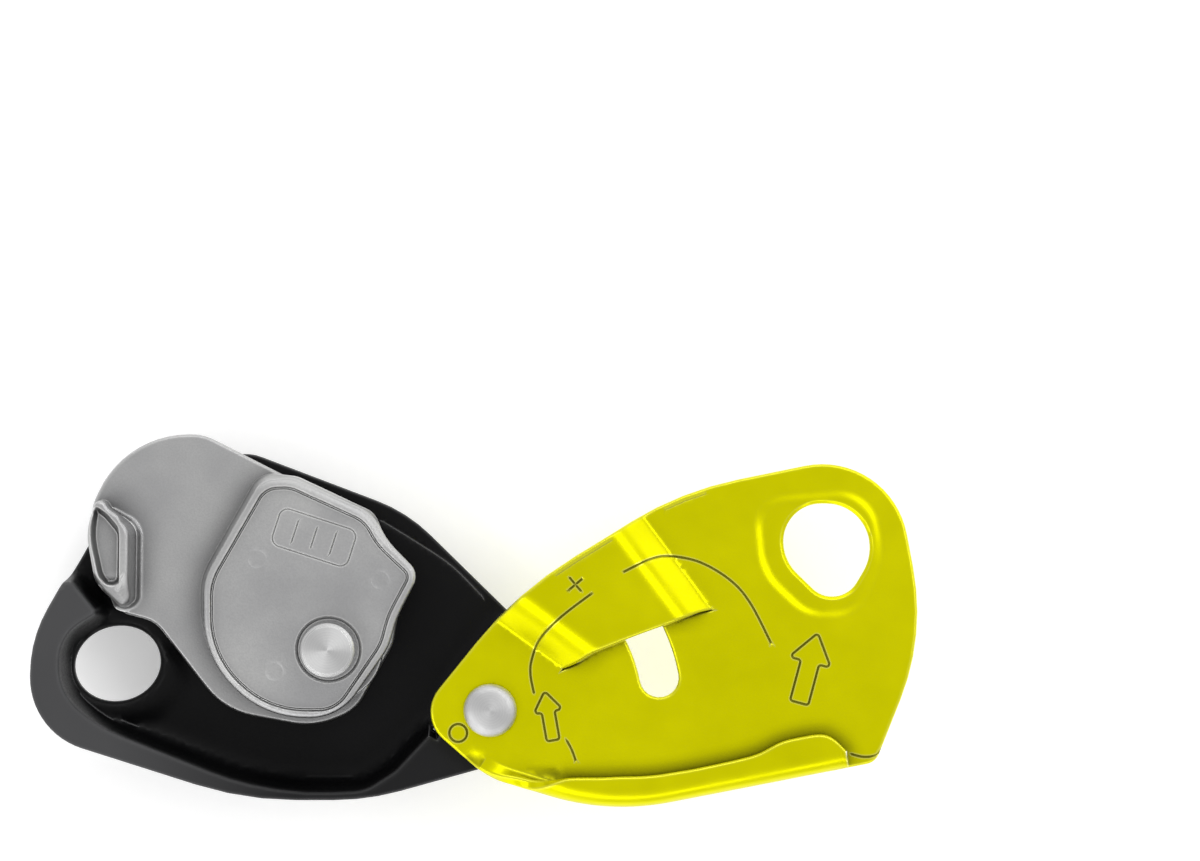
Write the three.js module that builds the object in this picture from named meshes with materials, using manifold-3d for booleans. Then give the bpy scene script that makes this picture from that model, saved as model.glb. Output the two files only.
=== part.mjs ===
// An assisted-braking belay device that lies on its back, with its moving side plate swung open.
// Millimetres, +Z towards the front of the device. The origin is on the cam axle, at the plane it rests on.
import * as THREE from "three";
import { mergeVertices } from "three/addons/utils/BufferGeometryUtils.js";
import Module from "manifold-3d";

const wasm = await Module();
wasm.setup();

// ---- Driving dimensions ----
const ARC_STEP = THREE.MathUtils.degToRad(15); // one facet of a rounded corner
const ROUND_SIDES = 32; // facets of a turned part
const GAP = 0.3; // between parts that touch
const RUN = 0.08; // radial clearance of a shaft in its bush

const PIVOT = [29.25, -10.8]; // axis of the moving plate
const LEVER_PIN = [4, 20]; // axis of the folding lever
const HANDLE_STOP = [12.4, 16]; // the pin that the handle arm comes to rest on

// Levels, from the back of the device to its front
const LEVER_Z = [0, 4.6];
const WASHER_TOP = 1.6; // the washer on the rear end of the cam axle
const ARM_Z = [5.4, 8.4];
const HUB_BOTTOM = 1.9; // the handle arm's hub
const FLOOR_Z = [9, 11.5]; // the fixed plate
const RIM_TOP = 25.4; // the fixed plate's rim and anvil block
const FLANGE_Z = [11.8, 13.8]; // the cam's lower flange
const CAP_Z = [22.6, 25]; // the cam's cap
const CAP_RIM_TOP = 25.3;
const PLATE_Z = [26, 28]; // the moving plate
const STRAP_RAISE = 4.4; // the moving plate's bridge over the axle head
const STRAP_RUN = 5.2; // width of each of its ramps
const CURL_TOP = 32; // the moving plate's rolled flange
const CURL_THICKNESS = 1.8;

// Shafts and their heads, by radius
const AXLE_R = 4;
const AXLE_NECK_R = 3;
const AXLE_HEAD_R = 4.86;
const AXLE_HEAD_Z = [28.3, 30];
const AXLE_RECESS = { radius: 5.5, bottom: 23.8 }; // in the cam's cap, round the axle's neck
const PIVOT_R = 4;
const PIVOT_NECK_R = 2.9;
const PIVOT_HEAD_R = 4.77;
const PIVOT_HEAD_TOP = 30.9;
const PIVOT_REAR_HEAD = { radius: 6.2, levels: [5.6, 7.6] };
const LEVER_PIN_R = 2;
const LEVER_PIN_HEAD = { radius: 3.8, levels: [0.3, 1.5] };
const LEVER_PIN_END = { radius: 3, depth: 0.8 };
const STOP_PIN_R = 1.5;

// Bushes and washers, by outer radius
const PLATE_BUSH_R = 3.8;
const CAM_BUSH = { radius: 5.6, top: 22 };
const ARM_BUSH_R = 5.3;
const LEVER_BUSH_R = 2.8;
const AXLE_WASHER_R = 9.5;
const PIVOT_WASHER = { radius: 7.4, levels: [7.8, 8.8] };
const PLATE_WASHER = { radius: 5.6, levels: [25.55, 25.85] };
const LEVER_WASHER = { inner: 2.4, radius: 4.4, levels: [4.85, 5.15] };
const HUB_R = 10; // the handle arm's hub

// Springs and the pockets that they lie in
const CAM_SPRING = { radius: 7.6, wire: 0.65, bottom: 12.9, pitch: 1.6, turns: 2.6 };
const CAM_POCKET = { inner: 6.6, outer: 8.6, top: 18 };
const CAM_BOSS = { radius: 9.6, top: 19 };
const ARM_SPRING = { radius: 7.5, wire: 0.5, bottom: 5.8, pitch: 1.1, turns: 1.8 };
const ARM_POCKET = { inner: 6.4, outer: 8.8, bottom: 4.8 };

// The cam's stop pin lies in a curved pocket as long as the cam's swing, in degrees
const CAM_SWING = 28;
const CAM_STOP = { radius: 15.2, angle: 92, top: 17 };
// The handle's drive pin lies in a curved slot of the fixed plate as long as the handle's swing
const HANDLE_SWING = 70;
const DRIVE_PIN = { radius: 14.5, angle: 115, thickness: 3.6 };

// ---- Outlines: corners as [x, y, corner radius], anticlockwise ----
function cornerBetween(one, two, share, radius) {
  const { lerp } = THREE.MathUtils;
  return [lerp(one[0], two[0], share), lerp(one[1], two[1], share), radius];
}

const FIXED_PLATE = [
  [-44, 19, 2],
  [-53.7, 2, 24],
  [-53.9, -14.8, 13.4],
  [-15.1, -27.15, 60],
  [7.1, -27.15, 45],
  [39, -18.3, 9],
  [33.6, 5.2, 4],
  [13.8, 24.6, 28],
  [-16.5, 36.1, 8],
];
const FIXED_HOLE = [
  [-43.6, 4.6, 5],
  [-46.6, -5, 6],
  [-40.6, -11.2, 7],
  [-30.6, -8.4, 6],
  [-29.6, -1.6, 6],
  [-34.6, 5.6, 5],
];
// The rope bears on this line of the anvil, from its top end to its bottom end
const ANVIL_FACE = [
  [30.6, 4.15],
  [24.6, -3.5],
  [18.9, -14.4],
];
const FRICTION_PLATE_THICKNESS = 1.2;
const FRICTION_PLATE_DROP = 0.6; // from the anvil's top to the friction plate's top edge
const RIM_INNER_EDGE = [
  [19.6, -16.2, 0],
  [18.1, -15.4, 0],
  [12, -21.9, 6],
  [6.6, -25.4, 8],
  [-4, -25.9, 50],
  [-16, -24.1, 50],
  [-41.5, -14, 26],
  [-48.7, -7.6, 10],
  [-48.4, 2.6, 8],
  [-41.8, 6.6, 0.8],
];
// The rim ends on the plate's edge at both ends, part of the way along a straight side
const RIM_END = cornerBetween(FIXED_PLATE[0], FIXED_PLATE[1], 0.33, 1.5);
const ANVIL_END = cornerBetween(FIXED_PLATE[5], FIXED_PLATE[6], 0.9, 0.4);

const CAM_FLANGE = [
  [-37.5, 38.8, 15],
  [-43.6, 25.5, 8],
  [-42.9, 12.6, 8],
  [-37.6, 6.2, 2.5],
  [-32, 4.7, 6],
  [-19.5, -11.5, 14],
  [-3, -14.6, 14],
  [4.6, -11.4, 6],
  [11.4, 0.5, 5],
  [16, 12.8, 3],
  [9.5, 23.6, 5],
  [-23.2, 38.8, 6],
];
const CAM_CAP = [
  [-12.2, 30.6, 3],
  [-22.6, 12.6, 10],
  [-22.6, -1.3, 18],
  [-11.55, -12.35, 18],
  [1.9, -12.35, 6],
  [11, 0.5, 5],
  [12.2, 5.4, 6],
  [16.4, 13.7, 2.2],
  [10.6, 19.6, 5],
  [8.1, 24.5, 3],
  [-6.4, 30.9, 4],
];
const CAM_CAP_FLOOR = [
  [-11.4, 29.2, 3],
  [-21.2, 12.2, 10],
  [-21.2, -0.9, 16.5],
  [-11.1, -11, 16.5],
  [1.4, -11, 5],
  [9.6, 1, 5],
  [10.8, 5.9, 6],
  [14.8, 13.4, 1.5],
  [8.9, 19, 5],
  [6.6, 23.2, 2],
  [-6.6, 29, 3],
];
const CAM_DRUM = [
  [-12.2, 30.6, 3],
  [-22.4, 12.6, 10],
  [-22.4, 0.4, 17],
  [-12, -10, 17],
  [0.7, -10, 5],
  [9.2, 1.6, 5],
  [10.2, 5.8, 6],
  [14, 12.9, 2],
  [9.4, 17.8, 5],
  [7, 23.6, 3],
  [-6.4, 29.9, 4],
];
const THUMB_TAB = [
  [-41.7, 28.8, 1.2],
  [-43.9, 21, 10],
  [-42.2, 11.6, 6],
  [-37.2, 6.8, 2],
  [-35.2, 8.8, 2],
  [-35, 22, 3.5],
  [-39.9, 25.4, 3],
];
const THUMB_TAB_TOP = 22.6;

const MOVING_PLATE = [
  [15.95, -11.9, 6.5],
  [28.5, -22.8, 18],
  [50.7, -29.5, 45],
  [98.6, -20.2, 3],
  [107.7, 2.65, 43],
  [101.3, 36.3, 15.5],
  [63.6, 28.6, 60],
  [34.2, 10.65, 70],
];
const MOVING_HOLE = [
  [81.4, 26.9, 6.5],
  [81.9, 15.5, 8],
  [89.6, 8.2, 4.5],
  [94.6, 10, 6],
  [98.3, 16.5, 7.5],
  [97.4, 26.4, 8.2],
];
// The slot runs round the plate's pivot, and takes the neck of the cam axle
const SLOT = { radius: 30.95, width: 7, start: 10.8, end: 40 };
const STRAP_AREA = [
  [41.8, -3.4, 0],
  [54.6, 3, 40],
  [68.9, 7.6, 0],
  [40, 46, 0],
  [12, 18.5, 0],
];
// Each fold of the strap: a point on it, and the level direction in which its ramp climbs
const STRAP_FOLDS = [
  { point: [36.65, 0.9], uphill: [0.592, 0.806] },
  { point: [62.3, 16.45], uphill: [-0.8, -0.6] },
];
const CURL_WALL_AREA = [
  [38, -40, 0],
  [96, -40, 0],
  [94, -19.8, 0],
  [76, -23, 0],
  [50.7, -27.3, 40],
  [39, -23.8, 0],
];
const CURL_LEAF_AREA = [
  [38.6, -40, 0],
  [94, -40, 0],
  [93.4, -14.2, 4],
  [82.6, -16.4, 3],
  [76.5, -19.6, 6],
  [62, -21.9, 30],
  [40, -22.1, 2],
];

const ARM = [
  [-3, 27, 6.5],
  [-9.9, 0, 0.5],
  [9.9, 0, 0.5],
  [11, 27, 6.5],
];
const LEVER = [
  [10.2, 26.6, 7],
  [-23, 30.6, 16],
  [-45, 20.6, 4.5],
  [-43.2, 9.6, 4.5],
  [-24, 13, 25],
  [10.8, 12.8, 7],
];
const LEVER_FINGER_RECESS = [
  [-12, 24.8, 2.5],
  [-23, 25.6, 10],
  [-39.5, 18.2, 2],
  [-38.6, 14.4, 2],
  [-24, 17, 20],
  [-12, 17.2, 2.5],
];
const FINGER_RECESS_DEPTH = 2.2;

// ---- Geometry helpers ----

// Points of a polygon whose corners are rounded by their own radii.
function roundedPoints(corners) {
  return corners.flatMap(([x, y, radius], i) => {
    const corner = new THREE.Vector2(x, y);
    const before = corners.at(i - 1);
    const after = corners[(i + 1) % corners.length];
    const towardsBefore = new THREE.Vector2(before[0] - x, before[1] - y).normalize();
    const towardsAfter = new THREE.Vector2(after[0] - x, after[1] - y).normalize();
    const turn = Math.PI - Math.acos(THREE.MathUtils.clamp(towardsBefore.dot(towardsAfter), -1, 1));
    if (radius === 0 || turn < 1e-3) return [corner];
    const tangent = radius * Math.tan(turn / 2);
    const bisector = towardsBefore.clone().add(towardsAfter).normalize();
    const centre = corner.clone().addScaledVector(bisector, radius / Math.cos(turn / 2));
    const start = corner.clone().addScaledVector(towardsBefore, tangent).sub(centre);
    const side = Math.sign(towardsAfter.cross(towardsBefore));
    const steps = Math.max(2, Math.ceil(turn / ARC_STEP));
    return Array.from({ length: steps + 1 }, (_, k) =>
      start.clone().rotateAround(new THREE.Vector2(), (side * turn * k) / steps).add(centre),
    );
  });
}

// A polyline moved sideways by a distance, to its left as it runs, with mitred corners.
function offsetLine(points, distance) {
  const vectors = points.map(([x, y]) => new THREE.Vector2(x, y));
  const normals = vectors.slice(1).map((p, i) => {
    const along = p.clone().sub(vectors[i]).normalize();
    return new THREE.Vector2(-along.y, along.x);
  });
  return vectors.map((p, i) => {
    const one = normals[Math.max(i - 1, 0)];
    const two = normals[Math.min(i, normals.length - 1)];
    const mitre = one.clone().add(two);
    return p.clone().addScaledVector(mitre, (2 * distance) / mitre.lengthSq());
  });
}

// A closed three.js geometry as a solid that can be joined and cut.
function solid(geometry) {
  const bare = geometry.clone();
  bare.deleteAttribute("normal");
  bare.deleteAttribute("uv");
  const merged = mergeVertices(bare, 1e-4);
  return new wasm.Manifold(
    new wasm.Mesh({
      numProp: 3,
      vertProperties: new Float32Array(merged.attributes.position.array),
      triVerts: new Uint32Array(merged.index.array),
    }),
  );
}

// A flat piece between two levels, from the corners of its outline.
function slab(corners, [bottom, top]) {
  const geometry = new THREE.ExtrudeGeometry(new THREE.Shape(roundedPoints(corners)), {
    depth: top - bottom,
    bevelEnabled: false,
  });
  return solid(geometry.translate(0, 0, bottom));
}

// A turned piece about a vertical axis. Its profile of [radius, level] runs from the bottom up,
// round the outside, and starts and ends on the axis or closes on itself.
function turned(profile, [x, y] = [0, 0]) {
  const points = profile.map(([radius, level]) => new THREE.Vector2(radius, level));
  const geometry = new THREE.LatheGeometry(points, ROUND_SIDES);
  return solid(geometry.rotateX(Math.PI / 2).translate(x, y, 0));
}

function rod(radius, [bottom, top], place) {
  const profile = [
    [0, bottom],
    [radius, bottom],
    [radius, top],
    [0, top],
  ];
  return turned(profile, place);
}

function sleeve(inner, outer, [bottom, top], place) {
  const profile = [
    [inner, bottom],
    [outer, bottom],
    [outer, top],
    [inner, top],
    [inner, bottom],
  ];
  return turned(profile, place);
}

// Everything under a plane through a point, as a very large block.
function below(point, normal) {
  const size = 400;
  const geometry = new THREE.BoxGeometry(size, size, size).translate(0, 0, -size / 2);
  const up = new THREE.Vector3(0, 0, 1);
  geometry.applyQuaternion(new THREE.Quaternion().setFromUnitVectors(up, normal.clone().normalize()));
  return solid(geometry.translate(...point));
}

// Levels that run a little past both faces, for a cut right through.
function past([bottom, top]) {
  return [bottom - 1, top + 1];
}

// A place at a radius and an angle in degrees round a centre.
function polar(radius, degrees, [x, y] = [0, 0]) {
  const angle = THREE.MathUtils.degToRad(degrees);
  return [x + radius * Math.cos(angle), y + radius * Math.sin(angle)];
}

// A curved slot with round ends, between two angles in degrees round a centre.
function arcSlot({ radius, width, start, end }, levels, centre) {
  const facetAngle = 8;
  const along = Math.ceil((end - start) / facetAngle);
  const round = 8; // facets of each round end
  const side = (reach, from, to) =>
    Array.from({ length: along + 1 }, (_, k) => polar(reach, from + ((to - from) * k) / along, centre));
  const cap = (angle, from) =>
    Array.from({ length: round - 1 }, (_, k) =>
      polar(width / 2, from + ((k + 1) * 180) / round, polar(radius, angle, centre)),
    );
  const outline = [
    ...side(radius + width / 2, start, end),
    ...cap(end, end),
    ...side(radius - width / 2, end, start),
    ...cap(start, start + 180),
  ];
  return slab(
    outline.map(([x, y]) => [x, y, 0]),
    levels,
  );
}

class HelixCurve extends THREE.Curve {
  constructor({ radius, bottom, pitch, turns }) {
    super();
    Object.assign(this, { radius, bottom, pitch, turns });
  }

  getPoint(t, target = new THREE.Vector3()) {
    const angle = t * this.turns * 2 * Math.PI;
    const level = this.bottom + t * this.turns * this.pitch;
    return target.set(this.radius * Math.cos(angle), this.radius * Math.sin(angle), level);
  }
}

function coil(spring) {
  const sides = 6;
  const stepsPerTurn = 18;
  const wirePoint = (_, k) => new THREE.Vector2(...polar(spring.wire, (k * 360) / sides));
  const section = new THREE.Shape(Array.from({ length: sides }, wirePoint));
  const geometry = new THREE.ExtrudeGeometry(section, {
    extrudePath: new HelixCurve(spring),
    steps: Math.round(spring.turns * stepsPerTurn),
    bevelEnabled: false,
  });
  return solid(geometry);
}

// ---- The fixed plate and what is fastened to it ----

function fixedSidePlate() {
  const recess = offsetLine(ANVIL_FACE, FRICTION_PLATE_THICKNESS + GAP).map((p) => [p.x, p.y, 0]);
  const rimArea = [...FIXED_PLATE.slice(1, 6), ANVIL_END, ...recess, ...RIM_INNER_EDGE, RIM_END];
  const through = past(FLOOR_Z);
  return slab(FIXED_PLATE, FLOOR_Z)
    .add(slab(rimArea, [FLOOR_Z[0], RIM_TOP]))
    .subtract(slab(FIXED_HOLE, through))
    .subtract(rod(PIVOT_R + GAP, past([FLOOR_Z[0], RIM_TOP]), PIVOT))
    .subtract(rod(AXLE_R + GAP, through))
    .subtract(rod(STOP_PIN_R + GAP, through, HANDLE_STOP))
    .subtract(rod(STOP_PIN_R + GAP, through, polar(CAM_STOP.radius, CAM_STOP.angle)))
    .subtract(drivePinSlot(through))
    .subtract(rivetHoles());
}

function drivePinPlace() {
  return polar(DRIVE_PIN.radius, DRIVE_PIN.angle);
}

// The drive pin sweeps this slot in the fixed plate as the handle swings.
function drivePinSlot(levels) {
  const slot = {
    radius: DRIVE_PIN.radius,
    width: DRIVE_PIN.thickness + 2 * GAP,
    start: DRIVE_PIN.angle - 1,
    end: DRIVE_PIN.angle + HANDLE_SWING + 1,
  };
  return arcSlot(slot, levels);
}

function frictionPlate() {
  const ropeSide = offsetLine(ANVIL_FACE, 0);
  const anvilSide = offsetLine(ANVIL_FACE, FRICTION_PLATE_THICKNESS).reverse();
  const outline = [...ropeSide, ...anvilSide].map((p) => [p.x, p.y, 0]);
  return slab(outline, [FLOOR_Z[1] + GAP, RIM_TOP - FRICTION_PLATE_DROP]).subtract(rivetHoles());
}

// Both rivets lie level, square to the anvil's face, and their heads are sunk in the friction plate.
const RIVET = { shank: 1.2, head: 2.2, headDepth: 0.9, length: 4.6, level: 18.6 };
const RIVET_PLACES = [
  { start: ANVIL_FACE[0], end: ANVIL_FACE[1], along: 0.5 },
  { start: ANVIL_FACE[1], end: ANVIL_FACE[2], along: 0.84 },
];

// A rivet, or the hole for it where it is grown by a gap; the hole's mouth runs on past the face.
function rivet({ start, end, along }, grow = 0) {
  const line = new THREE.Vector2(end[0] - start[0], end[1] - start[1]);
  const mouth = [
    [RIVET.head + grow, 1],
    [0, 1],
  ];
  const profile = [
    [0, -RIVET.length - grow],
    [RIVET.shank + grow, -RIVET.length - grow],
    [RIVET.shank + grow, -RIVET.headDepth - grow],
    [RIVET.head + grow, 0],
    ...(grow > 0 ? mouth : [[0, 0]]),
  ];
  const points = profile.map(([radius, level]) => new THREE.Vector2(radius, level));
  const towardsRope = line.angle() - Math.PI / 2;
  const geometry = new THREE.LatheGeometry(points, 16).rotateZ(towardsRope - Math.PI / 2);
  geometry.translate(start[0] + line.x * along, start[1] + line.y * along, RIVET.level);
  return solid(geometry);
}

function rivetHoles() {
  const holes = RIVET_PLACES.map((place) => rivet(place, GAP));
  return holes[0].add(holes[1]);
}

function platePivotPin() {
  const { radius: rearRadius, levels: rear } = PIVOT_REAR_HEAD;
  const chamfer = 0.7;
  const dome = [
    [PIVOT_HEAD_R, PIVOT_HEAD_TOP - 1.4],
    [PIVOT_HEAD_R * 0.86, PIVOT_HEAD_TOP - 0.6],
    [PIVOT_HEAD_R * 0.5, PIVOT_HEAD_TOP - 0.12],
    [0, PIVOT_HEAD_TOP],
  ];
  return turned(
    [
      [0, rear[0]],
      [rearRadius - chamfer, rear[0]],
      [rearRadius, rear[0] + chamfer],
      [rearRadius, rear[1]],
      [PIVOT_R, rear[1]],
      [PIVOT_R, RIM_TOP],
      [PIVOT_NECK_R, RIM_TOP],
      [PIVOT_NECK_R, PLATE_Z[1] + GAP],
      [PIVOT_HEAD_R, PLATE_Z[1] + GAP],
      ...dome,
    ],
    PIVOT,
  );
}

function camAxle() {
  const neckBottom = CAP_Z[1] - 0.4;
  const chamfer = 0.3;
  return turned([
    [0, 0],
    [AXLE_R, 0],
    [AXLE_R, neckBottom],
    [AXLE_NECK_R, neckBottom],
    [AXLE_NECK_R, AXLE_HEAD_Z[0]],
    [AXLE_HEAD_R, AXLE_HEAD_Z[0]],
    [AXLE_HEAD_R, AXLE_HEAD_Z[1] - chamfer],
    [AXLE_HEAD_R - chamfer, AXLE_HEAD_Z[1]],
    [0, AXLE_HEAD_Z[1]],
  ]);
}

// ---- The moving plate ----

// The space under a bent sheet: level in the middle, and sloping down to each fold.
function underStrap(level, foldLevel) {
  const slope = Math.atan2(STRAP_RAISE, STRAP_RUN);
  const flat = below([0, 0, level], new THREE.Vector3(0, 0, 1));
  return STRAP_FOLDS.reduce((space, { point, uphill }) => {
    const normal = new THREE.Vector3(
      -uphill[0] * Math.sin(slope),
      -uphill[1] * Math.sin(slope),
      Math.cos(slope),
    );
    return space.intersect(below([...point, foldLevel], normal));
  }, flat);
}

function movingSidePlate() {
  const tall = [PLATE_Z[0], CURL_TOP + 2];
  const thickness = PLATE_Z[1] - PLATE_Z[0];
  const slope = Math.atan2(STRAP_RAISE, STRAP_RUN);
  const upper = underStrap(PLATE_Z[1] + STRAP_RAISE, PLATE_Z[1]);
  const lower = underStrap(PLATE_Z[0] + STRAP_RAISE, PLATE_Z[1] - thickness / Math.cos(slope));
  const strapArea = slab(MOVING_PLATE, tall).intersect(slab(STRAP_AREA, tall));
  const strap = strapArea.intersect(upper).subtract(lower);
  const wallLevels = [PLATE_Z[1] - 1, CURL_TOP];
  const leafLevels = [CURL_TOP - CURL_THICKNESS, CURL_TOP];
  const wall = slab(MOVING_PLATE, wallLevels).intersect(slab(CURL_WALL_AREA, wallLevels));
  const leaf = slab(MOVING_PLATE, leafLevels).intersect(slab(CURL_LEAF_AREA, leafLevels));
  const through = past(PLATE_Z);
  const flat = slab(MOVING_PLATE, PLATE_Z).subtract(lower.intersect(slab(STRAP_AREA, through)));
  return flat
    .add(strap)
    .add(wall)
    .add(leaf)
    .subtract(arcSlot(SLOT, through, PIVOT))
    .subtract(slab(MOVING_HOLE, through))
    .subtract(rod(PLATE_BUSH_R + GAP, through, PIVOT));
}

// ---- The cam ----

function cam() {
  const capFloor = CAP_Z[1] - 0.5;
  const boreTop = AXLE_RECESS.bottom - 0.2;
  const underside = FLANGE_Z[0] - 1;
  const overTop = CAP_RIM_TOP + 1;
  const neckHole = AXLE_NECK_R + 1.3;
  const stopSlot = {
    radius: CAM_STOP.radius,
    width: 2 * (STOP_PIN_R + GAP),
    start: CAM_STOP.angle - 1,
    end: CAM_STOP.angle + CAM_SWING + 1,
  };
  return slab(CAM_FLANGE, FLANGE_Z)
    .add(slab(CAM_DRUM, [FLANGE_Z[0], CAP_Z[1] - 1]))
    .add(rod(CAM_BOSS.radius, [FLANGE_Z[0], CAM_BOSS.top]))
    .add(slab(CAM_CAP, [CAP_Z[0], CAP_RIM_TOP]))
    .add(slab(THUMB_TAB, [FLANGE_Z[0], THUMB_TAB_TOP]))
    .subtract(slab(CAM_CAP_FLOOR, [capFloor, overTop]))
    .subtract(rod(AXLE_RECESS.radius, [AXLE_RECESS.bottom, overTop]))
    .subtract(rod(CAM_BUSH.radius + GAP, [underside, boreTop]))
    .subtract(rod(neckHole, [boreTop - 1, overTop]))
    .subtract(sleeve(CAM_POCKET.inner, CAM_POCKET.outer, [underside, CAM_POCKET.top]))
    .subtract(arcSlot(stopSlot, [underside, CAM_STOP.top + GAP]));
}

// ---- The handle ----

function handleArm() {
  const through = past(ARM_Z);
  const pinEndSeat = [ARM_Z[1] - LEVER_PIN_END.depth - GAP, through[1]];
  return slab(ARM, ARM_Z)
    .add(rod(HUB_R, [HUB_BOTTOM, ARM_Z[1]]))
    .subtract(rod(ARM_BUSH_R + GAP, past([HUB_BOTTOM, ARM_Z[1]])))
    .subtract(sleeve(ARM_POCKET.inner, ARM_POCKET.outer, [ARM_POCKET.bottom, through[1]]))
    .subtract(rod(LEVER_PIN_R + RUN, through, LEVER_PIN))
    .subtract(rod(LEVER_PIN_END.radius + GAP, pinEndSeat, LEVER_PIN))
    .subtract(rod(DRIVE_PIN.thickness / 2 + RUN, through, drivePinPlace()));
}

function handlePin() {
  const { radius: headRadius, levels: head } = LEVER_PIN_HEAD;
  const { radius: endRadius, depth: endDepth } = LEVER_PIN_END;
  const chamfer = 0.4;
  return turned(
    [
      [0, head[0]],
      [headRadius - chamfer, head[0]],
      [headRadius, head[0] + chamfer],
      [headRadius, head[1]],
      [LEVER_PIN_R, head[1]],
      [LEVER_PIN_R, ARM_Z[1] - endDepth],
      [endRadius, ARM_Z[1] - endDepth],
      [endRadius, ARM_Z[1]],
      [0, ARM_Z[1]],
    ],
    LEVER_PIN,
  );
}

function handleLever() {
  const headSeat = { radius: LEVER_PIN_HEAD.radius + 0.4, top: LEVER_PIN_HEAD.levels[1] + GAP };
  const recess = [LEVER_Z[1] - FINGER_RECESS_DEPTH, LEVER_Z[1] + 1];
  return slab(LEVER, LEVER_Z)
    .subtract(slab(LEVER_FINGER_RECESS, recess))
    .subtract(rod(LEVER_BUSH_R + GAP, past(LEVER_Z), LEVER_PIN))
    .subtract(rod(headSeat.radius, [LEVER_Z[0] - 1, headSeat.top], LEVER_PIN));
}

// ---- Materials ----
function finish(color, roughness, metalness) {
  return () => new THREE.MeshStandardMaterial({ color, roughness, metalness });
}
const blackAluminium = finish(0x141416, 0.45, 0.4);
const limeAluminium = finish(0xc9cc00, 0.35, 0.6);
const castSteel = finish(0xa9abac, 0.5, 0.9);
const turnedSteel = finish(0xd0d2d2, 0.25, 1);
const springSteel = finish(0x6f7275, 0.35, 1);
const bronze = finish(0x9c7440, 0.4, 0.9);
const blackNylon = finish(0x1c1c1e, 0.7, 0);

// ---- The assembly ----
const device = new THREE.Group();

function group() {
  const made = new THREE.Group();
  device.add(made);
  return made;
}

function addPart(parent, name, body, material) {
  const made = body.getMesh();
  const geometry = new THREE.BufferGeometry();
  geometry.setAttribute("position", new THREE.BufferAttribute(made.vertProperties, made.numProp));
  geometry.setIndex(new THREE.BufferAttribute(made.triVerts, 1));
  const mesh = new THREE.Mesh(geometry, material());
  geometry.computeVertexNormals();
  mesh.name = name;
  parent.add(mesh);
}

const frame = group();
addPart(frame, "fixed_side_plate", fixedSidePlate(), blackAluminium);
addPart(frame, "friction_plate", frictionPlate(), turnedSteel);
["friction_rivet_upper", "friction_rivet_lower"].forEach((name, i) => {
  addPart(frame, name, rivet(RIVET_PLACES[i]), turnedSteel);
});
addPart(frame, "plate_pivot_pin", platePivotPin(), turnedSteel);
const pivotWasher = sleeve(PIVOT_R + GAP, PIVOT_WASHER.radius, PIVOT_WASHER.levels, PIVOT);
addPart(frame, "pivot_rear_washer", pivotWasher, turnedSteel);
const plateWasher = sleeve(PIVOT_NECK_R + GAP, PLATE_WASHER.radius, PLATE_WASHER.levels, PIVOT);
addPart(frame, "plate_wave_washer", plateWasher, springSteel);
addPart(frame, "cam_axle", camAxle(), turnedSteel);
addPart(frame, "axle_rear_washer", sleeve(AXLE_R + RUN, AXLE_WASHER_R, [0, WASHER_TOP]), turnedSteel);
const camStop = rod(STOP_PIN_R, [FLOOR_Z[0] + GAP, CAM_STOP.top], polar(CAM_STOP.radius, CAM_STOP.angle));
addPart(frame, "cam_stop_pin", camStop, turnedSteel);
const handleStop = rod(STOP_PIN_R, [LEVER_Z[1] + GAP, FLOOR_Z[1]], HANDLE_STOP);
addPart(frame, "handle_stop_pin", handleStop, turnedSteel);
addPart(frame, "cam_return_spring", coil(CAM_SPRING), springSteel);

const plate = group();
addPart(plate, "moving_side_plate", movingSidePlate(), limeAluminium);
addPart(plate, "plate_bush", sleeve(PIVOT_NECK_R + RUN, PLATE_BUSH_R, PLATE_Z, PIVOT), bronze);

const camGroup = group();
addPart(camGroup, "cam", cam(), castSteel);
addPart(camGroup, "cam_bush", sleeve(AXLE_R + RUN, CAM_BUSH.radius, [FLANGE_Z[0], CAM_BUSH.top]), bronze);

const armGroup = group();
const drivePin = rod(DRIVE_PIN.thickness / 2, [ARM_Z[0], FLOOR_Z[1]], drivePinPlace());
addPart(armGroup, "handle_arm", handleArm(), castSteel);
addPart(armGroup, "arm_bush", sleeve(AXLE_R + RUN, ARM_BUSH_R, [HUB_BOTTOM, ARM_Z[1]]), bronze);
addPart(armGroup, "handle_pin", handlePin(), turnedSteel);
addPart(armGroup, "drive_pin", drivePin, turnedSteel);
addPart(armGroup, "handle_return_spring", coil(ARM_SPRING), springSteel);

const leverGroup = group();
const leverBushZ = [LEVER_PIN_HEAD.levels[1] + GAP, LEVER_Z[1]];
const leverWasher = sleeve(LEVER_WASHER.inner, LEVER_WASHER.radius, LEVER_WASHER.levels, LEVER_PIN);
addPart(leverGroup, "handle_lever", handleLever(), blackNylon);
addPart(leverGroup, "lever_bush", sleeve(LEVER_PIN_R + RUN, LEVER_BUSH_R, leverBushZ, LEVER_PIN), bronze);
addPart(leverGroup, "lever_wave_washer", leverWasher, springSteel);

export default device;
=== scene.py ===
"""The look of an assisted-braking belay device that lies open on its back, built on its CAD frame."""

import math

import bmesh
import bpy
import numpy as np
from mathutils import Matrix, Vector
from mathutils.geometry import delaunay_2d_cdt


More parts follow.
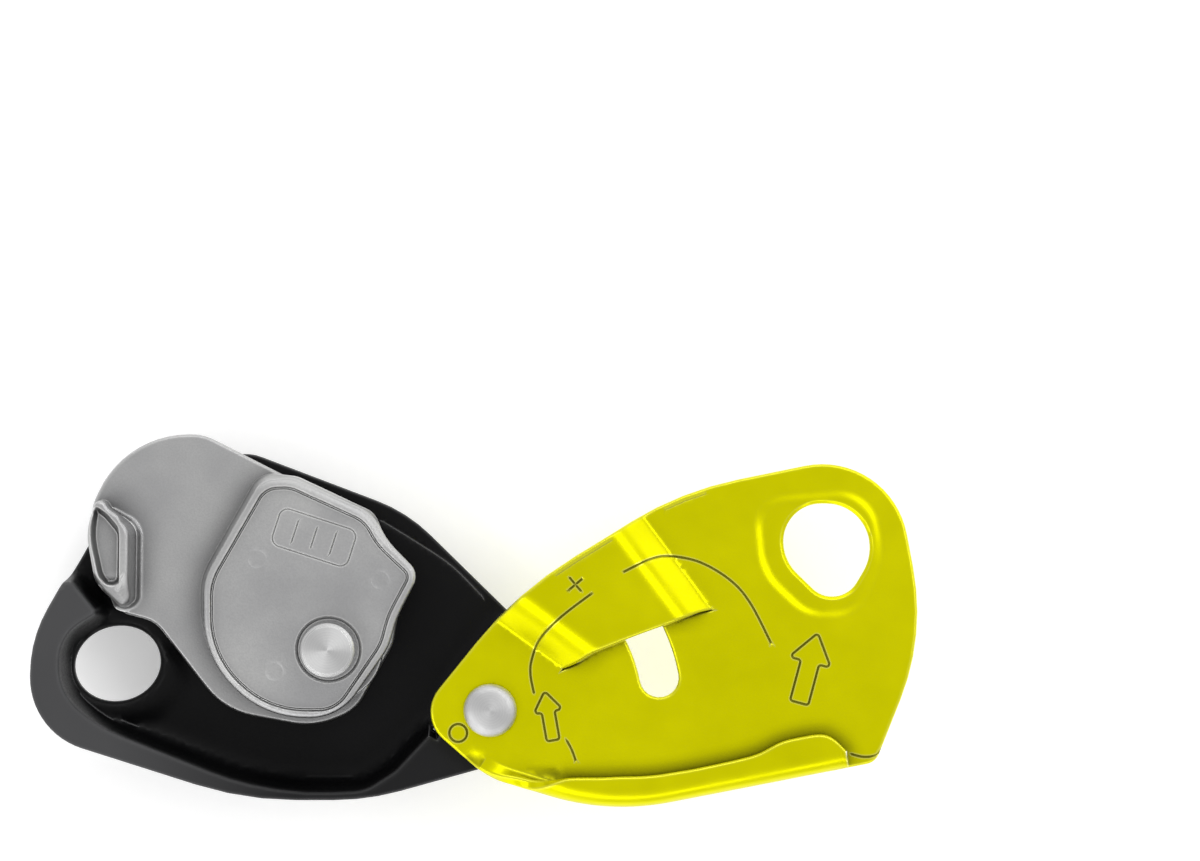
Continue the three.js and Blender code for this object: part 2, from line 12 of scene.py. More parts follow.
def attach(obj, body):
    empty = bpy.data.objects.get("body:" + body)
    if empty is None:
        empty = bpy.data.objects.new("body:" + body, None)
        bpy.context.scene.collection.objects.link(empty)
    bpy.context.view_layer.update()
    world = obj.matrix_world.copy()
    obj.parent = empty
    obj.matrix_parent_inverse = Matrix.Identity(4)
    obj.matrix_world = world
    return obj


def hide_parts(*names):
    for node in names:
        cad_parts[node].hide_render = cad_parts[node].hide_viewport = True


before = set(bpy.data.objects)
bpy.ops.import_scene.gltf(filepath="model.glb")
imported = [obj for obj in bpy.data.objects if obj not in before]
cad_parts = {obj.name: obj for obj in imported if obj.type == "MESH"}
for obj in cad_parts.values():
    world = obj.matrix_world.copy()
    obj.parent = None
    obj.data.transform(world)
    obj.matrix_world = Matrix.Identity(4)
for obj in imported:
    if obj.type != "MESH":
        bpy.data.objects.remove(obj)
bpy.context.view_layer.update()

# ---- Driving dimensions, in millimetres in the frame of the CAD ----
MM = 0.001
EDGE_ROUND = 0.55
EDGE_STEPS = np.array([0.04, 0.13, 0.28, EDGE_ROUND])  # how far from an edge its rounding has points
QUARTER_STEPS = 4  # facets across the rounded edge of a lofted solid
CORNER_SIGNS = ((-1, -1), (1, -1), (1, 1), (-1, 1))  # round a rectangle

GAP = 0.3  # between neighbours that don't touch
RUNNING_GAP = 0.08  # between a bush and its pin
AXLE_RADIUS = 4.0
PIVOT_RADIUS = 4.0
STOP_PIN_RADIUS = 1.5
PIVOT = (29.25, -10.8)
LEVER_PIN = (4.0, 20.0)
HANDLE_STOP = (12.4, 16.0)
CAM_STOP = {"radius": 15.2, "angle": 92, "top": 17.0}
DRIVE_PIN = {"radius": 14.5, "angle": 115, "thickness": 3.6}
HANDLE_SWING = 70
CAM_SWING = 28

LEVER_Z = (0.0, 4.6)
ARM_Z = (5.4, 8.4)
FLOOR_Z = (9.0, 11.5)
FLANGE_Z = (11.8, 13.8)
CAP_Z = (22.6, 24.5)
CAP_RIM_TOP = 25.3
THUMB_TAB_TOP = 22.6
PLATE_Z = (26.0, 28.0)
PLATE_THICKNESS = PLATE_Z[1] - PLATE_Z[0]

FIXED_PLATE = [
    (-44, 19, 2), (-53.7, 2, 24), (-53.9, -14.8, 13.4), (-15.1, -27.15, 60), (7.1, -27.15, 45),
    (39, -18.3, 9), (33.6, 5.2, 4), (13.8, 24.6, 28), (-16.5, 36.1, 8),
]
FIXED_HOLE = {"centre": (-38.9, -3.0), "half_length": 7.9, "half_width": 6.8, "turn": 14}
ANVIL_FACE = [(30.6, 4.15), (24.6, -3.5), (18.9, -14.4)]
FRICTION_PLATE_THICKNESS = 1.2
RIM_INNER_EDGE = [
    (19.6, -16.2, 0), (18.1, -15.4, 0), (12, -21.9, 6), (6.6, -25.4, 8), (-4, -25.9, 50),
    (-16, -24.1, 50), (-41.5, -14, 26), (-48.7, -7.6, 10), (-48.4, 2.6, 8), (-41.8, 6.6, 0.8),
]
CAM_FLANGE = [
    (-37.5, 38.8, 18), (-43.6, 25.5, 8), (-42.9, 12.6, 8), (-37.6, 6.2, 2.5), (-32, 4.7, 6),
    (-19.5, -11.5, 14), (-3, -14.6, 14), (4.6, -11.4, 8), (11.3, 0.5, 6), (13.4, 12.8, 3),
    (8, 23, 5), (-23.2, 38.8, 9),
]
CAM_CAP = [
    (-12.2, 30.6, 4), (-22.6, 12.6, 10), (-22.6, -1.3, 18), (-11.55, -12.35, 18), (1.9, -12.35, 10),
    (11, 0.5, 12), (12.2, 5.4, 20), (16.4, 13.7, 3.2), (10.6, 19.6, 14), (8.1, 24.5, 8), (-6.8, 31.1, 5),
]
CAM_CAP_FLOOR = [
    (-11.4, 29.2, 4), (-21.2, 12.2, 10), (-21.2, -0.9, 16.5), (-11.1, -11, 16.5), (1.4, -11, 6),
    (9.6, 1, 10), (10.8, 5.9, 18), (14.8, 13.4, 1.8), (8.9, 19, 12), (6.6, 23.2, 6), (-6.8, 29.3, 5),
]
CAM_DRUM = [
    (-12.2, 30.6, 3), (-22.4, 12.6, 10), (-22.4, 0.4, 17), (-12, -10, 17), (0.7, -10, 5),
    (9.2, 1.6, 5), (10.2, 5.8, 6), (14, 12.9, 2), (9.4, 17.8, 5), (7, 23.6, 3), (-6.4, 29.9, 4),
]
THUMB_TAB = [
    (-41.7, 28.8, 1.2), (-43.9, 21, 10), (-42.2, 11.6, 6), (-37.2, 6.8, 2), (-35.2, 8.8, 2),
    (-35, 22, 3.5), (-39.9, 25.4, 3),
]
THUMB_TAB_RECESS = [
    (-42.5, 26.3, 0.8), (-43.4, 20.5, 14), (-41.8, 13.0, 5), (-39.4, 10.2, 2.2), (-37.4, 12.4, 2),
    (-37.2, 21.2, 3.5), (-40.0, 24.5, 4),
]
THUMB_TAB_DRAFT = 1.2
THUMB_TAB_TAPER = 3.4  # how much lower its lower tip is
THUMB_TAB_DISH = 1.9
MOVING_PLATE = [
    (15.95, -11.9, 6.5), (28.5, -22.8, 18), (50.7, -29.5, 45), (98.6, -20.2, 3), (107.7, 2.65, 43),
    (101.3, 36.3, 15.5), (63.6, 28.6, 60), (34.2, 10.65, 70),
]
MOVING_HOLE = [
    (81.6, 26.5, 6.8), (82.2, 16, 8.0), (89.8, 8.6, 5), (94.4, 10.8, 5), (97.9, 16.7, 8.5),
    (96.4, 26.2, 7.8),
]
SLOT = {"radius": 30.95, "width": 7.0, "start": 10.8, "end": 40}

# The bridge over the axle head: cut loose along one curve, and folded up at both ends
STRAP_RAISE = 4.4
STRAP_RUN = 5.2
STRAP_CUT = [
    (42.3, -3.5), (44.8, -2.3), (47.8, -0.4), (52, 1.35), (56.8, 3.2), (61.1, 4.75), (64.5, 6.05),
    (66.8, 6.8), (69, 7.2),
]
STRAP_FAR_SIDE = [(42, 47), (9, 19)]  # closes the bridge's area beyond the plate's upper edge
STRAP_FOLDS = [
    {"point": (36.65, 0.9), "uphill": (0.592, 0.806), "foot": 0.6, "shoulder": 2.5},
    {"point": (62.3, 16.45), "uphill": (-0.8, -0.6), "foot": 0.4, "shoulder": 2.1},
]
# The dished surround of the moving plate's attachment hole
DISH = [(76, 27.9, 6), (77.2, 13.5, 12), (86, 5.2, 9), (95.8, 5.6, 7), (100.8, 17, 14), (98.2, 29.8, 8)]
DISH_DEPTH = 0.5
DISH_SLOPE = 2.2
ENGRAVED_WIDTH = 0.44
ENGRAVED_DEPTH = 0.22
GROOVE_STEPS = (-0.24, -0.12, 0, 0.12, 0.24)
THINNEST_EDGE = 0.4
BEVEL_SHARE = 0.45  # the bevel line's depth against the engraving's
# The rolled flange along the bottom edge: at each x, the angle it is bent through and its length
CURL_INSET = 3.0
CURL_BEND_RADIUS = 1.95
CURL_STATIONS = [
    (27.0, 0, 3.0), (30.0, 22, 3.05), (33.0, 52, 3.2), (35.5, 80, 3.6), (37.2, 102, 4.5), (39.2, 140, 5.6),
    (41.0, 172, 6.9), (42.2, 180, 7.4), (46.0, 180, 8.1), (52.6, 180, 8.8), (67.0, 180, 8.35),
    (74.2, 180, 8.5), (78.6, 180, 8.75), (80.4, 180, 9.4), (82.4, 180, 10.2), (84.5, 180, 10.35),
    (90.0, 180, 10.3), (91.4, 180, 9.9), (92.5, 180, 8.9), (93.3, 180, 7.5), (93.8, 180, 6.2),
]
CURL_SPACING = 0.7
NOTCH_WIDTH = 0.3
CURL_SIDE = -14  # the flange's edge lies below this y
# The pressed crease where the flange starts to roll
CREASE = [(25.5, -19.4), (30, -21.2), (35, -22.2), (41, -22.4)]
CREASE_DEPTH = 0.55
CREASE_REACH = 2.1
# How dark the painted shade is (as a share of an engraved line) in the crease, and the painted shadow
# beside the flange's free edge
CREASE_SHADE = 0.62
LEAF_SHADE = 0.42
LEAF_SHADE_REACH = 3.0

ARM = [(-3, 27, 6.5), (-9.9, 0, 0.5), (9.9, 0, 0.5), (11, 27, 6.5)]
LEVER = [
    (10.2, 26.6, 7), (-23, 30.6, 16), (-45, 20.6, 4.5), (-43.2, 9.6, 4.5), (-24, 13, 25), (10.8, 12.8, 7),
]
LEVER_RECESS = [
    (-12, 24.8, 2.5), (-23, 25.6, 10), (-39.5, 18.2, 2), (-38.6, 14.4, 2), (-24, 17, 20), (-12, 17.2, 2.5),
]


# ---- Flat outlines ----
def unit(v):
    """A vector of length 1 in the same direction."""
    return v / np.linalg.norm(v)


def units(vectors):
    """Every vector at length 1."""
    return vectors / np.linalg.norm(vectors, axis=1)[:, None]


def left_of(v):
    """The vector turned a quarter to the left."""
    return np.array([-v[1], v[0]])


def polar(radius, degrees, centre=(0, 0)):
    """A place at a radius and an angle from a centre."""
    angle = math.radians(degrees)
    return (centre[0] + radius * math.cos(angle), centre[1] + radius * math.sin(angle))


def circle(centre, radius, sides=48):
    """Points of an anticlockwise circle."""
    return np.array([polar(radius, 360 * k / sides, centre) for k in range(sides)])


def oval(centre, half_length, half_width, turn, sides=72):
    """An ellipse whose long axis is turned by some degrees from +X."""
    t = np.radians(np.arange(sides) * 360 / sides)
    tilt = math.radians(turn)
    x, y = half_length * np.cos(t), half_width * np.sin(t)
    turned = [x * math.cos(tilt) - y * math.sin(tilt), x * math.sin(tilt) + y * math.cos(tilt)]
    return np.column_stack(turned) + centre


def rounded(corners, inset=0.0, step=6.0):
    """Points of an anticlockwise outline with rounded corners, moved inwards by an inset."""
    places = [np.array(c[:2], float) for c in corners]
    points = []
    for i, here in enumerate(places):
        into = unit(here - places[i - 1])
        out = unit(places[(i + 1) % len(places)] - here)
        turn = math.atan2(into[0] * out[1] - into[1] * out[0], into @ out)
        corner = here + (left_of(into) + left_of(out)) * inset / (1 + into @ out)
        if corners[i][2] == 0:
            points.append(corner)
            continue
        side = math.copysign(1, turn)
        radius = max(corners[i][2] - inset * side, 0.05)
        start = corner - into * radius * math.tan(abs(turn) / 2)
        centre = start + side * radius * left_of(into)
        steps = max(2, math.ceil(math.degrees(abs(turn)) / step))
        for k in range(steps + 1):
            c, s = math.cos(turn * k / steps), math.sin(turn * k / steps)
            x, y = start - centre
            points.append(centre + np.array([x * c - y * s, x * s + y * c]))
    return np.array(points)


def dense(line, spacing, closed=True):
    """The same line with its long straight stretches divided."""
    ends = np.roll(line, -1, axis=0) if closed else line[1:]
    points = []
    for a, b in zip(line, ends):
        steps = max(1, math.ceil(np.linalg.norm(b - a) / spacing))
        points += [a + (b - a) * k / steps for k in range(steps)]
    if not closed:
        points.append(line[-1])
    return np.array(points)


def moved(line, distance, closed=True):
    """A line moved to its left, each point along the bisector of its two sides."""
    if closed:
        ahead = units(np.roll(line, -1, axis=0) - line)
        behind = np.roll(ahead, 1, axis=0)
    else:
        steps = units(np.diff(line, axis=0))
        ahead = np.vstack([steps, steps[-1:]])
        behind = np.vstack([steps[:1], steps])
    normals = left_of((ahead + behind).T).T
    return line + distance * normals / (1 + (ahead * behind).sum(1))[:, None]


def offsets(line, distances, closed=True):
    """The line moved by several distances, each given as (points, closed)."""
    return [(moved(line, d, closed), closed) for d in distances]


def turned_place(x, y, degrees, centre):
    """A place turned about the origin, then moved to a centre."""
    c, s = math.cos(math.radians(degrees)), math.sin(math.radians(degrees))
    return (centre[0] + x * c - y * s, centre[1] + x * s + y * c)


def arc_slot(slot, centre=(0, 0), side_step=4.0):
    """Outline of a curved slot with round ends."""
    half = slot["width"] / 2
    along = math.ceil((slot["end"] - slot["start"]) / side_step)
    sweep = np.linspace(slot["start"], slot["end"], along + 1)
    turn = np.linspace(0, 180, 13)[1:-1]
    head = polar(slot["radius"], slot["end"], centre)
    tail = polar(slot["radius"], slot["start"], centre)
    points = [polar(slot["radius"] + half, a, centre) for a in sweep]
    points += [polar(half, slot["end"] + a, head) for a in turn]
    points += [polar(slot["radius"] - half, a, centre) for a in sweep[::-1]]
    points += [polar(half, slot["start"] + 180 + a, tail) for a in turn]
    return np.array(points)


def smooth_curve(points, spacing=0.6):
    """A smooth line through a few points (Catmull-Rom)."""
    p = np.array([points[0], *points, points[-1]], float)
    made = []
    for i in range(1, len(p) - 2):
        steps = max(2, math.ceil(np.linalg.norm(p[i + 1] - p[i]) / spacing))
        for k in range(steps):
            t = k / steps
            a = 2 * p[i] + (p[i + 1] - p[i - 1]) * t
            b = (2 * p[i - 1] - 5 * p[i] + 4 * p[i + 1] - p[i + 2]) * t**2
            c = (-p[i - 1] + 3 * p[i] - 3 * p[i + 1] + p[i + 2]) * t**3
            made.append((a + b + c) / 2)
    return np.array([*made, p[-1]])


def distance(points, line, closed=True):
    """How far each point is from a line."""
    a = line if closed else line[:-1]
    ab = (np.roll(line, -1, axis=0) if closed else line[1:]) - a
    lengths = np.maximum((ab**2).sum(1), 1e-12)
    found = np.empty(len(points))
    block = 2000
    for i in range(0, len(points), block):
        ap = points[i : i + block, None, :] - a[None, :, :]
        t = np.clip((ap * ab).sum(2) / lengths, 0, 1)
        found[i : i + block] = np.sqrt(((ap - t[..., None] * ab) ** 2).sum(2)).min(1)
    return found


def inside(points, loop):
    """Which points lie inside a closed line."""
    x, y = points[:, 0], points[:, 1]
    result = np.zeros(len(points), bool)
    for (x1, y1), (x2, y2) in zip(loop, np.roll(loop, -1, axis=0)):
        if y1 != y2:
            result ^= ((y1 > y) != (y2 > y)) & (x < (x2 - x1) * (y - y1) / (y2 - y1) + x1)
    return result


def depth_in(points, loop):
    """How deep each point lies inside a closed line; below 0 outside it."""
    return np.where(inside(points, loop), 1, -1) * distance(points, loop)


def edge_drop(away, radius=EDGE_ROUND):
    """How far a rounded edge lies below the face, at a distance from the edge."""
    left = np.clip(radius - away, 0, radius)
    return radius - np.sqrt(np.maximum(radius**2 - left**2, 0))


def smoothstep(value, low, high):
    """A soft step from 0 to 1 between two values."""
    t = np.clip((value - low) / (high - low), 0, 1)
    return t * t * (3 - 2 * t)


def groove(points, lines, half_width):
    """Share of the full depth of engraved lines, each given as (points, closed)."""
    found = np.zeros(len(points))
    for line, closed in lines:
        found = np.maximum(found, 1 - np.clip(distance(points, line, closed) / half_width, 0, 1) ** 2)
    return found


# ---- Meshes ----
def add_object(name, data):
    """A new object in the scene."""
    made = bpy.data.objects.new(name, data)
    bpy.context.scene.collection.objects.link(made)
    return made


def piece(name, vertices, faces, body, replaces=(), material=None, sharp=35, engraved=None):
    """A new object from points in millimetres; with a body, it is finished and rides on it."""
    mesh = bpy.data.meshes.new(name)
    mesh.from_pydata((np.asarray(vertices, float) * MM).tolist(), [], [list(map(int, f)) for f in faces])
    # The engraved attribute carries engraved lines and, on the moving plate, painted shade and painted
    # shadow
    if engraved is not None:
        shares = mesh.attributes.new("engraved", "FLOAT", "POINT")
        shares.data.foreach_set("value", np.asarray(engraved, np.float32))
    mesh.validate()
    made = add_object(name, mesh)
    if body:
        finish_piece(made, body, replaces, material, sharp)
    return made


def finish_piece(made, body, replaces, material, sharp):
    """Welds and shades a mesh, gives it its material and ties it to its body."""
    mesh = made.data
    work = bmesh.new()
    work.from_mesh(mesh)
    bmesh.ops.remove_doubles(work, verts=work.verts, dist=2e-7)
    bmesh.ops.recalc_face_normals(work, faces=work.faces)
    for edge in work.edges:
        edge.smooth = len(edge.link_faces) == 2 and edge.calc_face_angle(0) < math.radians(sharp)
    for face in work.faces:
        face.smooth = True
    work.to_mesh(mesh)
    work.free()
    weighted = made.modifiers.new("even_shading", "WEIGHTED_NORMAL")
    weighted.keep_sharp = True
    weighted.weight = 100
    if material:
        mesh.materials.clear()
        mesh.materials.append(material)
    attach(made, body)
    if replaces:
        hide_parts(*replaces)


def triangulate(lines, scattered):
    """A flat net of triangles that keeps every line, each given as (points, closed)."""
    points, edges = [], []
    for line, closed in sorted(lines, key=lambda pair: not pair[1]):
        first, count = len(points), len(line)
        points += list(line)
        edges += [(first + i, first + (i + 1) % count) for i in range(count if closed else count - 1)]
    points += list(scattered)
    made = delaunay_2d_cdt([Vector(p) for p in points], edges, [], 0, 1e-4)
    flat = np.array([tuple(p) for p in made[0]])
    triangles = np.array([tuple(f) for f in made[2]])
    a, b, c = (flat[triangles[:, k]] for k in range(3))
    area = (b - a)[:, 0] * (c - a)[:, 1] - (b - a)[:, 1] * (c - a)[:, 0]
    triangles[area < 0] = triangles[area < 0][:, ::-1]
    return flat, triangles[np.abs(area) > 1e-7]


def grid_points(loop, spacing, lines, clear):
    """Evenly spread points inside a loop, kept clear of the lines."""
    low, high = loop.min(0), loop.max(0)
    rows = np.arange(low[1], high[1], spacing * 0.866)
    columns = np.arange(low[0], high[0], spacing)
    spread = np.array([(x + (j % 2) * spacing / 2, y) for j, y in enumerate(rows) for x in columns])
    spread = spread[inside(spread, loop)]
    for line, closed in lines:
        spread = spread[distance(spread, line, closed) > clear]
    return spread


def outer_edges(triangles):
    """Edges of a triangle net with a face on one side only, in the direction of that face."""
    directed = {(a, b) for t in triangles for a, b in ((t[0], t[1]), (t[1], t[2]), (t[2], t[0]))}
    return [(a, b) for a, b in directed if (b, a) not in directed]


def thick_sheet(flat, triangles, top, bottom, open_edges=lambda a, b: False):
    """A closed solid from a flat net and the levels of its two faces."""
    count = len(flat)
    vertices = np.vstack([np.column_stack([flat, top]), np.column_stack([flat, bottom])])
    faces = [list(t) for t in triangles]
    faces += [[t[2] + count, t[1] + count, t[0] + count] for t in triangles]
    faces += [[b, a, a + count, b + count] for a, b in outer_edges(triangles) if not open_edges(a, b)]
    return vertices, faces


def skin(rings, joined=False):
    """Vertices and faces over rings of equal point counts; joined runs on from the last to the first."""
    count = len(rings[0])
    faces = []
    for r in range(len(rings) if joined else len(rings) - 1):
        low, high = r * count, (r + 1) % len(rings) * count
        faces += [[low + i, low + (i + 1) % count, high + (i + 1) % count, high + i] for i in range(count)]
    return np.vstack(rings), faces


def loft(rings):
    """A closed solid through rings, from the bottom up, with flat ends."""
    vertices, sides = skin(rings)
    count = len(rings[0])
    first, last = list(range(count)), list(range(len(vertices) - count, len(vertices)))
    return vertices, [first[::-1], *sides, last]


def at_level(points, level):
    """Flat points laid at one level."""
    return np.column_stack([points, np.full(len(points), level)])


def ring(corners, inset, level):
    """A rounded outline laid at one level."""
    return at_level(rounded(corners, inset), level)


def quarter(radius):
    """(how far in, how far down) along a rounded edge, from its side to its face."""
    turns = [math.pi / 2 * k / QUARTER_STEPS for k in range(QUARTER_STEPS + 1)]
    return [(radius * (1 - math.cos(t)), radius * (1 - math.sin(t))) for t in turns]


def rounded_slab(corners, levels, radius):
    """Vertices and faces of a flat piece with rounded edges."""
    lower = [ring(corners, inset, levels[0] + rise) for inset, rise in reversed(quarter(radius))]
    upper = [ring(corners, inset, levels[1] - fall) for inset, fall in quarter(radius)]
    return loft(lower + upper)


def lathe(profile, centre=(0, 0), sides=96):
    """A turned solid from (radius, level) points that run from the bottom up round the outside."""
    rings = [at_level(circle(centre, radius, sides), level) for radius, level in profile]
    return skin(rings, joined=profile[0][0] > 0)


def tube(path, radius, sides=12):
    """A round wire along a path."""
    path = np.asarray(path, float)
    along = units(np.gradient(path, axis=0))
    across = units(np.cross(along, [0, 0, 1.0]))
    up = np.cross(across, along)
    angles = np.linspace(0, 2 * math.pi, sides, endpoint=False)
    ends = [0.55, 0.85] + [1.0] * (len(path) - 4) + [0.85, 0.55]
    rings = [
        p + radius * size * (np.cos(angles)[:, None] * a + np.sin(angles)[:, None] * u)
        for p, a, u, size in zip(path, across, up, ends)
    ]
    return loft(rings)


def combine(base, solid, operation="DIFFERENCE"):
    """Cuts an object by a solid, or joins the two; the solid is given as (vertices, faces)."""
    vertices, faces = solid
    other = piece("solid", vertices, faces, body=None)
    change = base.modifiers.new("combine", "BOOLEAN")
    change.object = other
    change.operation = operation
    change.solver = "EXACT"
    bpy.context.view_layer.update()
    seen = base.evaluated_get(bpy.context.evaluated_depsgraph_get())
    mesh = bpy.data.meshes.new_from_object(seen)
    base.modifiers.clear()
    base.data = mesh
    bpy.data.objects.remove(other)


# ---- Materials ----
NOISE_LOW = 0.3  # most of a noise lies between these two values
NOISE_HIGH = 0.7


class Finish:
    """A node material round one Principled shader, with helpers that share its object coordinates."""

    def __init__(self, name, metallic, roughness):
        self.material = bpy.data.materials.new(name)
        self.material.use_nodes = True
        self.tree = self.material.node_tree
        self.shader = self.tree.nodes["Principled BSDF"]
        self.shader.inputs["Metallic"].default_value = metallic
        self.shader.inputs["Roughness"].default_value = roughness
        self.place = self.tree.nodes.new("ShaderNodeTexCoord").outputs["Object"]

    def node(self, kind, **sockets):
        """A new node, with its named sockets linked or set."""
        made = self.tree.nodes.new(kind)
        for name, value in sockets.items():
            self.put(value, made.inputs[name.replace("_", " ")])
        return made

    def put(self, value, socket):
        """Links a socket or sets its number or colour."""
        if isinstance(value, bpy.types.NodeSocket):
            self.tree.links.new(value, socket)
        elif socket.type == "RGBA":
            socket.default_value = (*value, 1.0)
        else:
            socket.default_value = value

    def noise(self, scale, detail, stretch=None):
        """Noise in object coordinates, with features of about 1 / scale metres."""
        place = self.place
        if stretch:
            place = self.node("ShaderNodeMapping", Vector=place, Scale=stretch).outputs[0]
        return self.node("ShaderNodeTexNoise", Vector=place, Scale=scale, Detail=detail).outputs["Fac"]

    def cells(self, scale):
        """Small cells, by the distance from their centres."""
        return self.node("ShaderNodeTexVoronoi", Vector=self.place, Scale=scale).outputs["Distance"]

    def between(self, value, low, high, start, end):
        """Maps a value from start..end to low..high."""
        made = self.node("ShaderNodeMapRange")
        for socket, number in zip(made.inputs[:5], (value, start, end, low, high)):
            self.put(number, socket)
        return made.outputs[0]

    def mix(self, share, one, two):
        """Mixes two colours."""
        made = self.tree.nodes.new("ShaderNodeMix")
        made.data_type = "RGBA"
        colours = [s for s in made.inputs if s.type == "RGBA"]
        for socket, value in zip((made.inputs[0], *colours), (share, one, two)):
            self.put(value, socket)
        return [s for s in made.outputs if s.type == "RGBA"][0]

    def blotches(self, noise, dark, light):
        """A colour that wanders between two of them along a noise."""
        return self.mix(self.between(noise, 0, 1, NOISE_LOW, NOISE_HIGH), dark, light)

    def edge_highlighted(self, base, bright, radius, share):
        """A colour with a painted highlight where the surface turns over an edge."""
        return self.mix(self.maths("MULTIPLY", self.edges(radius), share), base, bright)

    def maths(self, operation, one, two=0.0):
        """One step of arithmetic."""
        made = self.tree.nodes.new("ShaderNodeMath")
        made.operation = operation
        self.put(one, made.inputs[0])
        self.put(two, made.inputs[1])
        return made.outputs[0]

    def edges(self, radius, reach=0.07):
        """Where the surface turns over an edge, from 0 to 1."""
        soft = self.node("ShaderNodeBevel", Radius=radius)
        soft.samples = 4
        true = self.tree.nodes.new("ShaderNodeNewGeometry").outputs["Normal"]
        product = self.tree.nodes.new("ShaderNodeVectorMath")
        product.operation = "DOT_PRODUCT"
        self.put(soft.outputs[0], product.inputs[0])
        self.put(true, product.inputs[1])
        return self.between(product.outputs["Value"], 1.0, 0.0, 1.0 - reach, 1.0)

    def cavities(self, reach):
        """How open the surface is to its surroundings, from 0 in a tight corner to 1."""
        made = self.tree.nodes.new("ShaderNodeAmbientOcclusion")
        made.samples = 6
        made.only_local = True
        made.inputs["Distance"].default_value = reach
        return self.between(made.outputs["AO"], 0, 1, 0.4, 0.95)

    def bump(self, heights):
        """Stacks bumps, each given as (height, depth in millimetres)."""
        normal = None
        for height, depth in heights:
            made = self.node("ShaderNodeBump", Height=height, Strength=1.0, Distance=depth * MM)
            if normal:
                self.put(normal, made.inputs["Normal"])
            normal = made.outputs[0]
        self.put(normal, self.shader.inputs["Normal"])

    def colour(self, value):
        """Sets the base colour."""
        self.put(value, self.shader.inputs["Base Color"])

    def roughness(self, noise, low, high, start=NOISE_LOW, end=NOISE_HIGH):
        """Lets the roughness wander along a noise."""
        self.put(self.between(noise, low, high, start, end), self.shader.inputs["Roughness"])


def lime_anodised():
    """Satin lime metal with dark engraved lines, painted shade in its corners, crease and beside the
    flange's free edge, and a painted highlight along its edges.
    """
    made = Finish("lime_anodised", metallic=1.0, roughness=0.34)
    broad = made.noise(35, 2)
    grain = made.noise(2600, 2)
    haze = made.noise(160, 2)
    base = made.blotches(broad, (0.66, 0.642, 0.0), (0.72, 0.696, 0.001))
    speckled = made.mix(made.between(grain, 0.0, 0.3, 0.45, 0.75), base, (0.66, 0.64, 0.01))
    # Painted shade: darker where the piece's own corners and overhangs close it in
    shaded = made.mix(made.cavities(4 * MM), (0.16, 0.16, 0.004), speckled)
    # Painted highlight: paler where the surface turns over an edge
    edge_lit = made.edge_highlighted(shaded, (0.93, 0.91, 0.36), 0.4 * MM, 0.55)
    # The engraved attribute darkens the engraved lines, and also carries painted shade in the crease and a
    # painted shadow beside the flange's free edge
    cut = made.tree.nodes.new("ShaderNodeAttribute")
    cut.attribute_name = "engraved"
    dark = made.between(cut.outputs["Fac"], 0, 0.85, 0.1, 0.9)
    made.colour(made.mix(dark, edge_lit, (0.15, 0.148, 0.006)))
    made.roughness(haze, 0.3, 0.37)
    made.bump([(grain, 0.004)])
    return made.material


def bead_blasted(name, dark, light, edge_shine=0.85):
    """Blasted cast steel with a painted highlight along its edges and painted shade in its corners."""
    made = Finish(name, metallic=1.0, roughness=0.42)
    broad = made.noise(55, 3)
    grain = made.noise(3200, 3)
    pits = made.cells(2600)
    base = made.blotches(broad, dark, light)
    speckled = made.mix(made.between(grain, 0, 0.35, 0.35, 0.7), base, [c * 0.78 for c in dark])
    # The colour of the painted highlight along the edges
    bright = [min(1.0, c * 1.7) for c in light]
    # Painted shade in the corners, where the piece closes in on itself
    marks_and_painted_shade = made.mix(made.cavities(5 * MM), [c * 0.3 for c in dark], speckled)
    # Painted highlight along the edges
    made.colour(made.edge_highlighted(marks_and_painted_shade, bright, 0.45 * MM, edge_shine))
    made.roughness(broad, 0.36, 0.5)
    made.bump([(grain, 0.018), (pits, 0.012)])
    return made.material


def turned_steel(name, centre, tone=0.66, roughness=0.4, pitch=0.28, anisotropy=0.85):
    """Steel faced on a lathe: fine rings round its own axis."""
    made = Finish(name, metallic=1.0, roughness=roughness)
    made.shader.inputs["Anisotropic"].default_value = anisotropy
    made.shader.inputs["Anisotropic Rotation"].default_value = 0.25
    tangent = made.tree.nodes.new("ShaderNodeTangent")
    tangent.direction_type = "RADIAL"
    tangent.axis = "Z"
    made.put(tangent.outputs[0], made.shader.inputs["Tangent"])
    shift = (-centre[0] * MM, -centre[1] * MM, 0)
    local = made.node("ShaderNodeMapping", Vector=made.place, Location=shift).outputs[0]
    split = made.node("ShaderNodeSeparateXYZ", Vector=local)
    squares = [made.maths("POWER", split.outputs[k], 2.0) for k in range(2)]
    radius = made.maths("SQRT", made.maths("ADD", squares[0], squares[1]))
    wobble = made.noise(700, 2)
    phase = made.maths("MULTIPLY", radius, 2 * math.pi / (pitch * MM))
    rings = made.maths("SINE", made.maths("ADD", phase, made.maths("MULTIPLY", wobble, 2.5)))
    outwards = made.node("ShaderNodeCombineXYZ", X=radius).outputs[0]
    lines = made.node("ShaderNodeTexNoise", Vector=outwards, Scale=9000.0)
    grain = made.noise(2600, 2)
    shade = made.between(lines.outputs["Fac"], 0, 1, 0.35, 0.65)
    base = made.mix(shade, (tone * 0.82, tone * 0.82, tone * 0.83), (tone, tone, tone * 0.99))
    # Painted highlight along the edges
    made.colour(made.edge_highlighted(base, (0.9, 0.9, 0.89), 0.25 * MM, 0.5))
    made.roughness(grain, roughness * 0.9, roughness * 1.15)
    made.bump([(rings, 0.0009), (lines.outputs["Fac"], 0.0012)])
    return made.material


